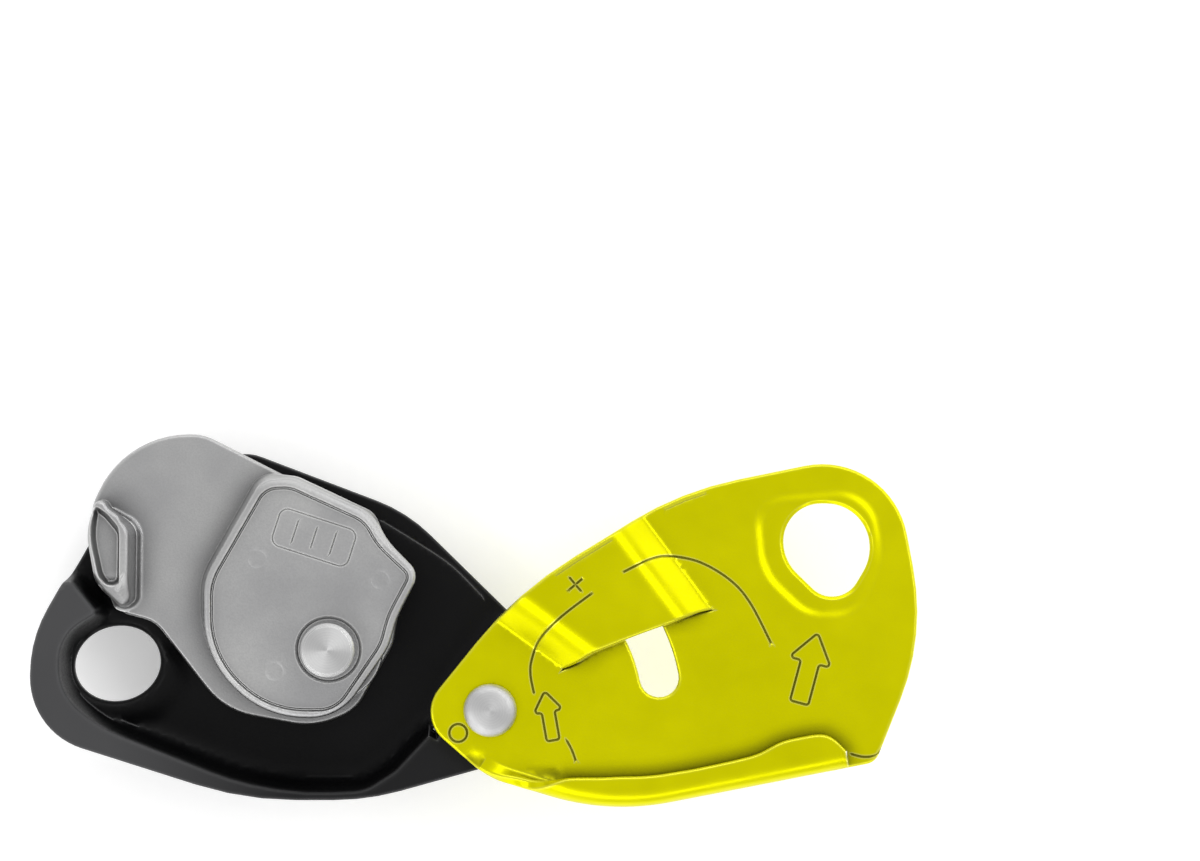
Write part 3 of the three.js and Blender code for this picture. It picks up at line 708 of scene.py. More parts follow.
def black_anodised():
    """Satin black, paler on top of the rim and more so towards its left end near the attachment hole;
    nearly black lower down.
    """
    made = Finish("black_anodised", metallic=0.0, roughness=0.42)
    made.shader.inputs["Specular IOR Level"].default_value = 0.13
    broad = made.noise(40, 3)
    grain = made.noise(2400, 3)
    place = made.node("ShaderNodeSeparateXYZ", Vector=made.place)
    raised = made.between(place.outputs["Z"], 0, 1, 22 * MM, 25.3 * MM)
    leftward = made.between(place.outputs["X"], 1.0, 0.12, -40 * MM, -6 * MM)
    raised = made.maths("MULTIPLY", raised, leftward)
    base = made.mix(raised, (0.0015, 0.0015, 0.0018), (0.057, 0.057, 0.059))
    mottled = made.mix(made.between(broad, 0, 0.12, 0.4, 0.7), base, (0.02, 0.02, 0.021))
    # Painted highlight along the edges
    made.colour(made.edge_highlighted(mottled, (0.22, 0.22, 0.225), 0.45 * MM, 0.7))
    made.roughness(grain, 0.34, 0.5)
    made.bump([(grain, 0.014)])
    return made.material


def sintered_bronze():
    """Porous bronze, mottled brown."""
    made = Finish("sintered_bronze", metallic=1.0, roughness=0.4)
    broad = made.noise(300, 3)
    pores = made.cells(2200)
    base = made.blotches(broad, (0.36, 0.2, 0.08), (0.6, 0.38, 0.16))
    made.colour(made.mix(made.between(pores, 0.6, 0, 0, 0.35), base, (0.12, 0.07, 0.03)))
    made.roughness(broad, 0.3, 0.55)
    made.bump([(pores, 0.02)])
    return made.material


def spring_wire():
    """Drawn wire with streaks along its length."""
    made = Finish("spring_wire", metallic=1.0, roughness=0.3)
    broad = made.noise(500, 3)
    drawn = made.noise(2500, 2, stretch=(1, 1, 4))
    base = made.blotches(broad, (0.2, 0.2, 0.22), (0.36, 0.35, 0.34))
    made.colour(made.mix(made.between(drawn, 0, 0.5, 0.4, 0.7), base, (0.12, 0.1, 0.09)))
    made.roughness(drawn, 0.24, 0.42)
    made.bump([(drawn, 0.006)])
    return made.material


def moulded_nylon():
    """Glass-filled nylon with a fine spark-eroded texture."""
    made = Finish("moulded_nylon", metallic=0.0, roughness=0.6)
    cells = made.cells(1500)
    fibres = made.noise(1800, 4, stretch=(0.25, 1, 1))
    broad = made.noise(60, 2)
    base = made.blotches(broad, (0.013, 0.013, 0.014), (0.026, 0.026, 0.028))
    streaked = made.mix(made.between(fibres, 0, 0.4, 0.5, 0.8), base, (0.05, 0.05, 0.052))
    # Painted highlight along the edges
    made.colour(made.edge_highlighted(streaked, (0.1, 0.1, 0.1), 0.5 * MM, 0.5))
    made.roughness(cells, 0.5, 0.72, 0.1, 0.6)
    made.bump([(cells, 0.035), (fibres, 0.01)])
    return made.material


LIME = lime_anodised()
CAST = bead_blasted("bead_blasted_steel", (0.40, 0.40, 0.405), (0.48, 0.48, 0.475))
# A weaker painted edge highlight on the tumbled steel
FORGED = bead_blasted("tumbled_steel", (0.30, 0.30, 0.305), (0.38, 0.38, 0.375), edge_shine=0.4)
BLACK = black_anodised()
BRONZE = sintered_bronze()
SPRING = spring_wire()
NYLON = moulded_nylon()
AXLE_STEEL = turned_steel("axle_steel", (0, 0))
PIVOT_STEEL = turned_steel("pivot_steel", PIVOT, tone=0.6, roughness=0.44, pitch=0.35, anisotropy=0.5)


# ---- The fixed plate ----
def drive_slot():
    """The curved slot that the handle's drive pin moves in."""
    start = DRIVE_PIN["angle"] - 1
    width = DRIVE_PIN["thickness"] + 2 * GAP
    end = DRIVE_PIN["angle"] + HANDLE_SWING + 1
    return arc_slot({"radius": DRIVE_PIN["radius"], "width": width, "start": start, "end": end})


RIM_ENDS = ((0, 0.33), (5, 0.9))  # the plate's side, and the share along it, where the rim ends


def rim_lines():
    """The line where the rim drops to the floor, and the rim's whole area."""
    recess = moved(np.array(ANVIL_FACE), FRICTION_PLATE_THICKNESS + 0.1, closed=False)
    end, anvil_end = (
        np.array(FIXED_PLATE[i][:2]) * (1 - share) + np.array(FIXED_PLATE[i + 1][:2]) * share
        for i, share in RIM_ENDS
    )
    corners = [(*anvil_end, 0.4), *[(*p, 0) for p in recess], *RIM_INNER_EDGE, (*end, 1.5)]
    area = rounded([*FIXED_PLATE[1:6], *corners])
    start = int(np.linalg.norm(area - recess[0], axis=1).argmin()) - 3
    return dense(area[start:], 1.0, closed=False), area


RIM_PROFILE = [
    (-1.0, 25.4), (-0.55, 25.36), (-0.28, 25.22), (-0.1, 25.0), (0.0, 24.7), (0.12, 23.6), (0.45, 17.5),
    (0.75, 14.9), (1.2, 13.2), (1.9, 12.2), (2.8, 11.7), (4.0, 11.5),
]
SCORED_LINE = [(9.5, 22.9), (16, 18.9), (22, 14.8), (27.5, 9.3)]
SCORED_DEPTH = 0.18
SCORED_HALF_WIDTH = 0.25
SWELL_HEIGHT = 1.7
SWELL_REACH = (1.6, 7.0)  # from the attachment hole's edge
SWELL_END = (-2.0, 4.0)  # in y
FLANGE_CLEARANCE = (0.3, 2.4)  # from the cam's flange
HOLE_CHAMFER = 1.0


def fixed_plate_net(outline, openings, inner, scored):
    """The plate's flat net, without its openings."""
    guides = offsets(outline, EDGE_STEPS)
    for loop in openings:
        guides += offsets(loop, -EDGE_STEPS)
    guides += offsets(openings[0], (-0.6, -HOLE_CHAMFER))
    guides += offsets(inner, [-d for d, _ in RIM_PROFILE[:-2]], closed=False)
    guides += offsets(scored, (-SCORED_HALF_WIDTH, 0, SCORED_HALF_WIDTH), closed=False)
    lines = [(outline, True), *[(loop, True) for loop in openings], *guides]
    flat, triangles = triangulate(lines, grid_points(outline, 1.1, lines, 0.3))
    centres = flat[triangles].mean(1)
    kept = inside(centres, outline)
    for loop in openings:
        kept &= ~inside(centres, loop)
    return flat, triangles[kept]


def swollen(top, flat, from_hole):
    """Lifts the floor beside the attachment hole, and keeps it clear of the cam's flange."""
    near_hole = (1 - smoothstep(from_hole, *SWELL_REACH)) * (1 - smoothstep(flat[:, 1], *SWELL_END))
    from_cam = -depth_in(flat, rounded(CAM_FLANGE))
    swell = SWELL_HEIGHT * near_hole * smoothstep(from_cam, *FLANGE_CLEARANCE)
    top = np.maximum(top, FLOOR_Z[1] + swell)
    return np.where(from_cam < 0.4, np.minimum(top, FLOOR_Z[1] + 0.1), top)


def fixed_plate():
    """The black shell: a floor with a tall rim, its openings and a scored line along its upper edge."""
    outline = dense(rounded(FIXED_PLATE), 1.0)
    hole = dense(oval(**FIXED_HOLE), 0.8)
    inner, area = rim_lines()
    stop = polar(CAM_STOP["radius"], CAM_STOP["angle"])
    openings = [hole, circle(PIVOT, PIVOT_RADIUS + GAP), circle((0, 0), AXLE_RADIUS + GAP), drive_slot()]
    openings.append(circle(stop, STOP_PIN_RADIUS + GAP, 24))
    scored = smooth_curve(SCORED_LINE)
    flat, triangles = fixed_plate_net(outline, openings, inner, scored)

    to_inner = distance(flat, inner, closed=False)
    on_outer_wall = (to_inner > 0.5) & (distance(flat, area) < 0.05)
    in_rim = inside(flat, area) | on_outer_wall
    from_rim = np.where(in_rim, -1, 1) * to_inner
    from_hole = distance(flat, hole)
    top = swollen(np.interp(from_rim, *zip(*RIM_PROFILE)), flat, from_hole)
    top -= SCORED_DEPTH * np.where(in_rim, 0, groove(flat, [(scored, False)], SCORED_HALF_WIDTH))
    edge = distance(flat, outline)
    bottom = np.full(len(flat), FLOOR_Z[0]) + edge_drop(edge)
    top -= edge_drop(edge, 0.32)
    for loop in openings:
        bottom += edge_drop(distance(flat, loop))
        top -= edge_drop(distance(flat, loop))
    chamfer = 0.5 * np.clip(HOLE_CHAMFER - from_hole, 0, 1)
    vertices, faces = thick_sheet(flat, triangles, top - chamfer, bottom + chamfer)
    piece("fixed_plate_shell", vertices, faces, body="frame", replaces=["fixed_side_plate"],
          material=BLACK, sharp=50)


fixed_plate()


# ---- The moving plate ----
ROPE_LINE_UPPER = [
    (53.3, 14.2), (58, 16.4), (61.6, 16.9), (67, 15.8), (72.4, 12.6), (76, 8.5), (79.7, 1.4),
]
ROPE_LINE_LOWER = [(47.5, 10.3), (41.8, 5.9), (38.2, 2), (36.7, -1.8), (36.5, -4.5), (37.1, -7.7)]


def engraved_lines():
    """Thin lines that show where the rope runs, a plus sign, a locating ring and two plain arrows."""
    upper = smooth_curve(ROPE_LINE_UPPER)
    lower = smooth_curve(ROPE_LINE_LOWER)
    tick = smooth_curve([(43.1, -16.4), (43.9, -17.9), (44.6, -19.8)])
    crease = smooth_curve([(94.2, -18.7), (96.4, -19.2), (98.6, -18.9), (99.8, -17.4)])
    lines = [(upper, False), (lower, False), (tick, False), (crease, False)]
    centre, reach = np.array([44.6, 11.9]), 1.55
    for degrees in (40, 130):
        along = np.array(polar(reach, degrees))
        lines.append((dense(np.array([centre - along, centre + along]), 0.5, closed=False), False))
    lines.append((circle((23.5, -14.9), 1.6, 32), True))
    lines.append((arrow((39.8, -11.8), 100, 9.0), True))
    lines.append((arrow((86.5, -3.2), 75, 13.0), True))
    return lines


def bevel_lines():
    """The faint line inside the upper edge, broken where the bridge meets it."""
    inner_edge = moved(dense(rounded(MOVING_PLATE), 0.7), 1.0)
    inner_edge = inner_edge[inner_edge[:, 1] > 0]
    return [
        (inner_edge[(inner_edge[:, 0] > low) & (inner_edge[:, 0] < high)], False)
        for low, high in ((41.0, 51.5), (60.5, 68.5))
    ]


def arrow(centre, degrees, length):
    """Outline of a plain arrow that points along an angle."""
    half = length / 2
    shaft, head = 0.13 * length, 0.3 * length
    neck = half - 0.42 * length
    corners = [
        (-half, -shaft), (neck, -shaft), (neck, -head), (half, 0), (neck, head), (neck, shaft),
        (-half, shaft),
    ]
    corners = [(*turned_place(x, y, degrees, centre), 0.5) for x, y in corners]
    return dense(rounded(corners, step=20), 0.6)


def ramp_height(along, fold):
    """Level along one ramp: a bend at its foot, a straight climb and a softer bend at its shoulder."""
    foot, shoulder = fold["foot"], fold["shoulder"]
    stations = np.linspace(-4, 12, 641)
    slope = np.interp(stations, [-foot, foot, STRAP_RUN - shoulder, STRAP_RUN + shoulder], [0, 1, 1, 0])
    slope[(stations < -foot) | (stations > STRAP_RUN + shoulder)] = 0
    climb = np.cumsum(slope)
    return np.interp(along, stations, climb / climb[-1])


def strap_height(flat):
    """How far the bridge stands above the plate at each point."""
    along = [(flat - np.array(fold["point"])) @ np.array(fold["uphill"]) for fold in STRAP_FOLDS]
    return STRAP_RAISE * np.minimum(*[ramp_height(a, fold) for a, fold in zip(along, STRAP_FOLDS)])


def curl_strip():
    """Where the rolled flange runs: points on the plate's edge, inward normals, bends and lengths."""
    outline = dense(rounded(MOVING_PLATE, step=2.0), 0.2)
    stations = np.array(CURL_STATIONS)
    between_ends = (outline[:, 0] > stations[0, 0]) & (outline[:, 0] < stations[-1, 0])
    bottom = outline[between_ends & (outline[:, 1] < CURL_SIDE)]
    bottom = bottom[np.argsort(bottom[:, 0])]
    steps = np.concatenate([[0], np.cumsum(np.linalg.norm(np.diff(bottom, axis=0), axis=1))])
    marks = np.linspace(0, steps[-1], int(steps[-1] / CURL_SPACING))
    edge = np.column_stack([np.interp(marks, steps, bottom[:, k]) for k in range(2)])
    normals = left_of(units(np.gradient(edge, axis=0)).T).T
    bend = np.radians(np.interp(edge[:, 0], stations[:, 0], stations[:, 1]))
    length = np.interp(edge[:, 0], stations[:, 0], stations[:, 2])
    soft = np.array([0.25, 0.5, 0.25])
    for _ in range(6):
        bend[1:-1] = np.convolve(bend, soft, "valid")
        length[1:-1] = np.convolve(length, soft, "valid")
    return edge, normals, bend, length


def curl_samples(length):
    """Arc lengths across the flange, close together at its free edge."""
    inner = np.linspace(0, length - EDGE_ROUND, 18)
    return np.concatenate([inner, length - EDGE_STEPS[-2::-1], [length]])


def rolled(reach, bend):
    """On the flange's section at an arc length: the angle turned, and how far out and up it is."""
    radius = CURL_BEND_RADIUS
    turned = np.minimum(reach / radius, bend)
    straight = reach - turned * radius
    outward = radius * np.sin(turned) + straight * np.cos(turned)
    return turned, outward, radius * (1 - np.cos(turned)) + straight * np.sin(turned)


def curl_tips(edge, normals, bend, length):
    """The line where the rolled flange's free edge lies over the plate."""
    _, outward, _ = rolled(length, bend)
    return (edge + (CURL_INSET - outward)[:, None] * normals)[bend > 2.6]


def curl_mesh(edge, normals, bend, length):
    """Vertices of the rolled flange's two faces, and its faces."""
    inner_face, outer_face = [], []
    for point, normal, angle, reach in zip(edge, normals, bend, length):
        t = curl_samples(reach)
        turned, outward, rise = rolled(t, angle)
        level = (PLATE_Z[0] + PLATE_Z[1]) / 2 + rise
        half = PLATE_THICKNESS / 2 - edge_drop(reach - t)
        for faces, side in ((inner_face, 1), (outer_face, -1)):
            out = outward - side * half * np.sin(turned)
            up = level + side * half * np.cos(turned)
            faces.append(np.column_stack([point + np.outer(CURL_INSET - out, normal), up]))
    rows, columns = len(edge), len(inner_face[0])
    count = rows * columns
    faces = []
    for r in range(rows - 1):
        for c in range(columns - 1):
            a, b = r * columns + c, (r + 1) * columns + c
            faces.append([a, b, b + 1, a + 1])
            faces.append([a + count + 1, b + count + 1, b + count, a + count])
        tip, following = (r + 1) * columns - 1, (r + 2) * columns - 1
        faces.append([tip, following, following + count, tip + count])
    last = (rows - 1) * columns
    for c in range(last, last + columns - 1):
        faces.append([c, c + count, c + 1 + count, c + 1])
    return np.vstack(inner_face + outer_face), faces


def plate_boundary(edge, normals, length):
    """Lines round the flat part: its free edge, the seam of the rolled flange, and the whole loop."""
    seam = edge + CURL_INSET * normals
    start_column = edge[0] + np.outer(CURL_INSET - curl_samples(length[0]), normals[0])
    notch = seam[-1] + (seam[-1] - seam[-2]) / CURL_SPACING * NOTCH_WIDTH
    outline = dense(rounded(MOVING_PLATE), 0.9)
    from_notch = np.linalg.norm(outline - (notch - CURL_INSET * normals[-1]), axis=1).argmin()
    free = np.roll(outline, -int(from_notch), axis=0)
    near_start = (free[:, 0] > edge[0, 0] - 0.3) & (free[:, 0] < 60)
    beyond = np.where(near_start & (free[:, 1] < CURL_SIDE))[0]
    free = np.vstack([free[: beyond[0]], edge[:1]])
    seam_line = np.vstack([start_column[::-1], seam[1:]])
    return free, seam_line, np.vstack([free, start_column[-2::-1], seam[1:], notch[None]])


def plate_lines():
    """Closed lines and the bridge's cut that the plate's net must keep, by name."""
    return {
        "hole": dense(rounded(MOVING_HOLE), 0.8),
        "slot": dense(arc_slot(SLOT, PIVOT), 0.8),
        "bore": circle(PIVOT, 4.1),
        "cut": smooth_curve(STRAP_CUT),
        "dish": dense(rounded(DISH), 0.8),
    }


def plate_net(free, boundary, loops, marks):
    """The plate's flat net, and which of its triangles belong to the bridge."""
    cut = loops["cut"]
    strap = np.vstack([cut, STRAP_FAR_SIDE])
    guides = offsets(free, EDGE_STEPS, closed=False)
    guides += offsets(cut, [side * d for d in EDGE_STEPS for side in (1, -1)], closed=False)
    guides += offsets(loops["slot"], -EDGE_STEPS) + offsets(loops["bore"], -EDGE_STEPS)
    guides += offsets(loops["hole"], (-0.12, -0.55, -0.7))
    guides += offsets(loops["dish"], [share * DISH_SLOPE for share in (0.0, 0.2, 0.4, 0.6, 0.8, 1.0)])
    for line, closed in marks:
        guides += offsets(line, GROOVE_STEPS, closed)
    openings = [(loops[name], True) for name in ("hole", "slot", "bore")]
    lines = [(boundary, True), *openings, (cut, False), *guides]
    scattered = [grid_points(boundary, 1.1, lines, 0.28), grid_points(strap, 0.5, lines, 0.2)]
    scattered[1] = scattered[1][inside(scattered[1], boundary)]
    flat, triangles = triangulate(lines, np.vstack(scattered))
    centres = flat[triangles].mean(1)
    raised = inside(centres, strap)
    kept = inside(centres, boundary) & ~inside(centres, loops["hole"]) & ~inside(centres, loops["bore"])
    kept &= raised | ~inside(centres, loops["slot"])
    return flat, triangles[kept], raised[kept]


def part_along(cut, flat, triangles, raised):
    """Doubles the points on the cut, and tells which points are the bridge's."""
    on_cut = np.where(distance(flat, cut, closed=False) < 2e-3)[0]
    copies = {int(v): len(flat) + i for i, v in enumerate(on_cut)}
    flat = np.vstack([flat, flat[on_cut]])
    for t in np.where(raised)[0]:
        triangles[t] = [copies.get(int(v), v) for v in triangles[t]]
    in_strap = np.zeros(len(flat), bool)
    in_strap[triangles[raised].ravel()] = True
    return flat, in_strap


def strap_lean(flat):
    """How much longer the sloping bridge is than its plan, which thickens it measured straight down."""
    step = 0.05
    slopes = [
        (strap_height(flat + shift) - strap_height(flat - shift)) / (2 * step)
        for shift in (np.array([step, 0]), np.array([0, step]))
    ]
    return np.sqrt(1 + slopes[0] ** 2 + slopes[1] ** 2)


def plate_edges(flat, free, loops, in_strap):
    """How far the rounded edges fall below the plate's faces."""
    falls = [edge_drop(distance(flat, line, closed=False)) for line in (free, loops["cut"])]
    falls.append(edge_drop(distance(flat, loops["bore"])))
    falls.append(np.where(in_strap, 0, edge_drop(distance(flat, loops["slot"]))))
    chamfer, reach = 0.4, 0.6
    falls.append(chamfer * np.clip(1 - distance(flat, loops["hole"]) / reach, 0, 1))
    return np.max(falls, axis=0)


def moving_plate():
    """The lime plate: an engraved sheet with a raised bridge, and a flange rolled over its lower edge."""
    edge, normals, bend, length = curl_strip()
    free, seam_line, boundary = plate_boundary(edge, normals, length)
    loops = plate_lines()
    engraved, bevelled = engraved_lines(), bevel_lines()
    flat, triangles, raised = plate_net(free, boundary, loops, engraved + bevelled)
    flat, in_strap = part_along(loops["cut"], flat, triangles, raised)

    height = np.where(in_strap, strap_height(flat), 0)
    lean = np.where(in_strap, strap_lean(flat), 1)
    dishing = DISH_DEPTH * smoothstep(depth_in(flat, loops["dish"]), 0, DISH_SLOPE)
    half_width = ENGRAVED_WIDTH / 2
    marked = BEVEL_SHARE * groove(flat, bevelled, half_width)
    marked = np.maximum(groove(flat, engraved, half_width), marked)
    from_crease = distance(flat, smooth_curve(CREASE), closed=False)
    creasing = CREASE_DEPTH * (1 - smoothstep(from_crease, 0, CREASE_REACH))
    creasing *= smoothstep(distance(flat, seam_line, closed=False), 0, 1.0)
    fall = plate_edges(flat, free, loops, in_strap)
    top = PLATE_Z[1] + height - dishing - creasing - ENGRAVED_DEPTH * marked - fall
    bottom = np.minimum(PLATE_Z[1] + height - PLATE_THICKNESS * lean + fall, top - THINNEST_EDGE)

    on_seam = distance(flat, seam_line, closed=False) < 1e-3
    on_seam |= np.linalg.norm(flat - edge[0], axis=1) < 1e-3
    vertices, faces = thick_sheet(flat, triangles, top, bottom, lambda a, b: on_seam[a] and on_seam[b])
    rolled_vertices, rolled_faces = curl_mesh(edge, normals, bend, length)
    faces += [[v + len(vertices) for v in face] for face in rolled_faces]

    # The engraved share also carries painted shade in the crease and a painted shadow on the plate close
    # to the flange's free edge
    from_leaf = distance(flat, curl_tips(edge, normals, bend, length), closed=False)
    under_leaf = np.where(in_strap, 0, LEAF_SHADE * (1 - smoothstep(from_leaf, 0, LEAF_SHADE_REACH)))
    in_crease = CREASE_SHADE * (1 - smoothstep(from_crease, 0.1, 1.5))
    # Engraved lines together with the painted shade and painted shadow
    marks_and_painted_shade = np.maximum(np.maximum(marked, in_crease), under_leaf)
    vertices = np.vstack([vertices, rolled_vertices])
    shares = np.concatenate([marks_and_painted_shade, np.zeros(len(vertices) - len(marks_and_painted_shade))])
    piece("moving_plate_sheet", vertices, faces, body="moving_plate", replaces=["moving_side_plate"],
          material=LIME, sharp=45, engraved=shares)


moving_plate()


# ---- The cam ----
CAP_CIRCLES = [(-13, 16.2), (9.2, 12.4), (-9.9, -4.1)]
MARK_CENTRE = (-2.6, 20.2)
MARK_TURN = -18
MARK_HALF_WIDTH = 0.16
MARK_DEPTH = 0.16
CIRCLE_DEPTH = 0.05
CAP_FLOOR_STEPS = (-0.2, -0.08, 0.0, 0.1, 0.22, 0.4)
CAP_FLOOR_LEVELS = (25.24, 25.12, 24.8, 24.3, 24.26, 24.5)
AXLE_WELL_RADIUS = 5.5
AXLE_WELL_STEPS = (-0.1, 0.0, 0.15, 0.55)
AXLE_WELL_LEVELS = (23.3, 23.6, 24.15, 24.5)
CAP_FOOT = {"level": 25.0, "drop": 1.7, "widths": (1.4, 2.8)}  # lower where the cap's rim is broad


def cap_mark():
    """The plain mark on the cap: a rounded frame round three bars."""
    half_width, half_height, bar_half = 7.2, 3.5, 1.9
    corners = [
        (*turned_place(across * half_width, up * half_height, MARK_TURN, MARK_CENTRE), 1.6)
        for across, up in CORNER_SIGNS
    ]
    lines = [(dense(rounded(corners, step=12), 0.8), True)]
    for across in (-3.6, 0, 3.6):
        bar = np.array([turned_place(across, y, MARK_TURN, MARK_CENTRE) for y in (-bar_half, bar_half)])
        lines.append((dense(bar, 0.5, closed=False), False))
    return lines


def cam_cap():
    """The cap: a raised rim, a flat floor with its marks, and a well round the axle."""
    outline = dense(rounded(CAM_CAP), 0.9)
    floor = dense(rounded(CAM_CAP_FLOOR), 0.9)
    well = circle((0, 0), AXLE_WELL_RADIUS, 96)
    bore = circle((0, 0), AXLE_RADIUS + GAP, 64)
    circles = [(circle(centre, 1.6, 32), True) for centre in CAP_CIRCLES]
    mark = cap_mark()
    guides = offsets(outline, (0.05, 0.15, 0.3, 0.5, 0.8, 1.1, 1.5, 1.9))
    guides += offsets(floor, CAP_FLOOR_STEPS) + offsets(well, (-0.55, -0.35, -0.15, 0.1))
    for line, closed in circles + mark:
        guides += offsets(line, (-MARK_HALF_WIDTH, 0, MARK_HALF_WIDTH), closed)
    lines = [(outline, True), (well, True), (bore, True), *guides]
    flat, triangles = triangulate(lines, grid_points(outline, 0.8, lines, 0.25))
    centres = flat[triangles].mean(1)
    triangles = triangles[inside(centres, outline) & ~inside(centres, bore)]
    from_edge = distance(flat, outline)
    in_floor = depth_in(flat, floor)
    width = from_edge + np.maximum(-in_floor, 0)
    share = np.clip(from_edge / np.maximum(width, 0.2), 0, 1)
    foot = CAP_FOOT["level"] - CAP_FOOT["drop"] * smoothstep(width, *CAP_FOOT["widths"])
    rim = foot + (CAP_RIM_TOP - foot) * np.sin(share * math.pi / 2) - edge_drop(from_edge, 0.5)
    inner = np.interp(in_floor, CAP_FLOOR_STEPS, CAP_FLOOR_LEVELS)
    inner = np.where(in_floor < 0, np.minimum(inner, rim), inner)
    top = np.where(in_floor > CAP_FLOOR_STEPS[0], inner, rim)
    from_well = -depth_in(flat, well)
    well_level = np.interp(from_well, AXLE_WELL_STEPS, AXLE_WELL_LEVELS)
    top = np.where(from_well < AXLE_WELL_STEPS[-1], np.minimum(well_level, top), top)
    relief = CIRCLE_DEPTH * groove(flat, circles, MARK_HALF_WIDTH)
    relief += MARK_DEPTH * groove(flat, mark, MARK_HALF_WIDTH)
    top -= np.where(in_floor > CAP_FLOOR_STEPS[-1], relief, 0)
    bottom = np.full(len(flat), CAP_Z[0]) + edge_drop(from_edge, 0.3)
    return thick_sheet(flat, triangles, top, bottom)


def flared(corners, bottom, top, flare, rounding):
    """A boss whose foot spreads in a fillet and whose top edge is rounded."""
    foot = [ring(corners, -flare, bottom)]
    start = bottom + 0.3 + flare
    foot += [ring(corners, inset - flare, start - rise) for inset, rise in quarter(flare)[::-1]]
    head = [ring(corners, inset, top - fall) for inset, fall in quarter(rounding)]
    return loft(foot + head)


def thumb_tab():
    """A tall lug with a dished top, a drafted inner wall and a tapered lower tip."""
    outline = dense(rounded(THUMB_TAB), 0.5)
    recess = dense(rounded(THUMB_TAB_RECESS), 0.5)
    rounding = 0.7
    guides = offsets(outline, [share * rounding for share in (0.07, 0.25, 0.5, 1.0)])
    guides += offsets(recess, (0.0, 0.25, 0.5, 0.75, 1.0))
    lines = [(outline, True), *guides]
    flat, triangles = triangulate(lines, grid_points(outline, 0.6, lines, 0.18))
    triangles = triangles[inside(flat[triangles].mean(1), outline)]
    taper = THUMB_TAB_TAPER * smoothstep(-flat[:, 1], -14.0, -6.8)
    top = THUMB_TAB_TOP - taper - edge_drop(distance(flat, outline), rounding)
    top -= THUMB_TAB_DISH * smoothstep(depth_in(flat, recess), 0, 1.0)
    vertices, faces = thick_sheet(flat, triangles, top, np.full(len(flat), FLANGE_Z[1] - 0.6))
    height = np.clip((vertices[:, 2] - FLANGE_Z[1]) / (THUMB_TAB_TOP - FLANGE_Z[1]), 0, 1)
    vertices[:, 0] -= THUMB_TAB_DRAFT * height * smoothstep(vertices[:, 0], -38.5, -36.0)
    return vertices, faces


def thumb_tab_fillet():
    """The fillet where the lug's inner wall meets the flange."""
    spread = [(1.1, -0.6), (1.1, 0.0), (0.6, 0.16), (0.25, 0.5), (0.05, 1.1), (-0.6, 1.5)]
    rings = []
    for reach, rise in spread:
        near = ring(THUMB_TAB, 0.3, FLANGE_Z[1] + rise)
        far = ring(THUMB_TAB, -reach, FLANGE_Z[1] + rise)
        share = smoothstep(near[:, 0], -41.0, -38.5)[:, None]
        rings.append(near * (1 - share) + far * share)
    return loft(rings)


CAM_BORE = [(0, 11), (5.9, 11), (5.9, 23.4), (4.3, 23.4), (4.3, 23.9), (0, 23.9)]
SPRING_POCKET = [(6.6, 11), (8.6, 11), (8.6, 18), (6.6, 18)]
SPRING_BOSS = [(0, 12.3), (9.6, 12.3), (9.6, 18.6), (9.48, 18.88), (9.2, 19), (0, 19)]


def stop_slot():
    """A cutter for the slot in the cam's underside that the stop pin limits."""
    width, start = 2 * (STOP_PIN_RADIUS + GAP), CAM_STOP["angle"] - 1
    end = CAM_STOP["angle"] + CAM_SWING + 1
    outline = arc_slot({"radius": CAM_STOP["radius"], "width": width, "start": start, "end": end})
    return loft([at_level(outline, level) for level in (11.0, CAM_STOP["top"] + GAP)])


def cam_body():
    """The casting: flange, drum, cap and thumb tab, bored for its bush, spring and stop pin."""
    vertices, faces = rounded_slab(CAM_FLANGE, FLANGE_Z, 0.6)
    made = piece("cam_casting", vertices, faces, body=None)
    drum = flared(CAM_DRUM, FLANGE_Z[0] + 1.6, CAP_Z[0] + 1.0, 1.3, 0.1)
    for added in (drum, lathe(SPRING_BOSS), thumb_tab(), thumb_tab_fillet(), cam_cap()):
        combine(made, added, "UNION")
    for cutter in (lathe(CAM_BORE), lathe(SPRING_POCKET), stop_slot()):
        combine(made, cutter)
    finish_piece(made, "cam", ["cam"], CAST, sharp=40)


cam_body()


# ---- Turned parts ----
def turned_piece(name, profile, centre, body, node, material):
    """A turned part that replaces its CAD node."""
    vertices, faces = lathe(profile, centre)
    piece(name, vertices, faces, body, [node], material, sharp=20)


def sleeve(inner, outer, bottom, top, chamfer=0.15):
    """Profile of a ring with chamfered edges."""
    return [
        (inner, bottom + chamfer), (inner + chamfer, bottom), (outer - chamfer, bottom),
        (outer, bottom + chamfer), (outer, top - chamfer), (outer - chamfer, top),
        (inner + chamfer, top), (inner, top - chamfer),
    ]


def rod(radius, bottom, top, chamfer=0.2):
    """Profile of a pin with chamfered ends."""
    return [
        (0, bottom), (radius - chamfer, bottom), (radius, bottom + chamfer), (radius, top - chamfer),
        (radius - chamfer, top), (0, top),
    ]


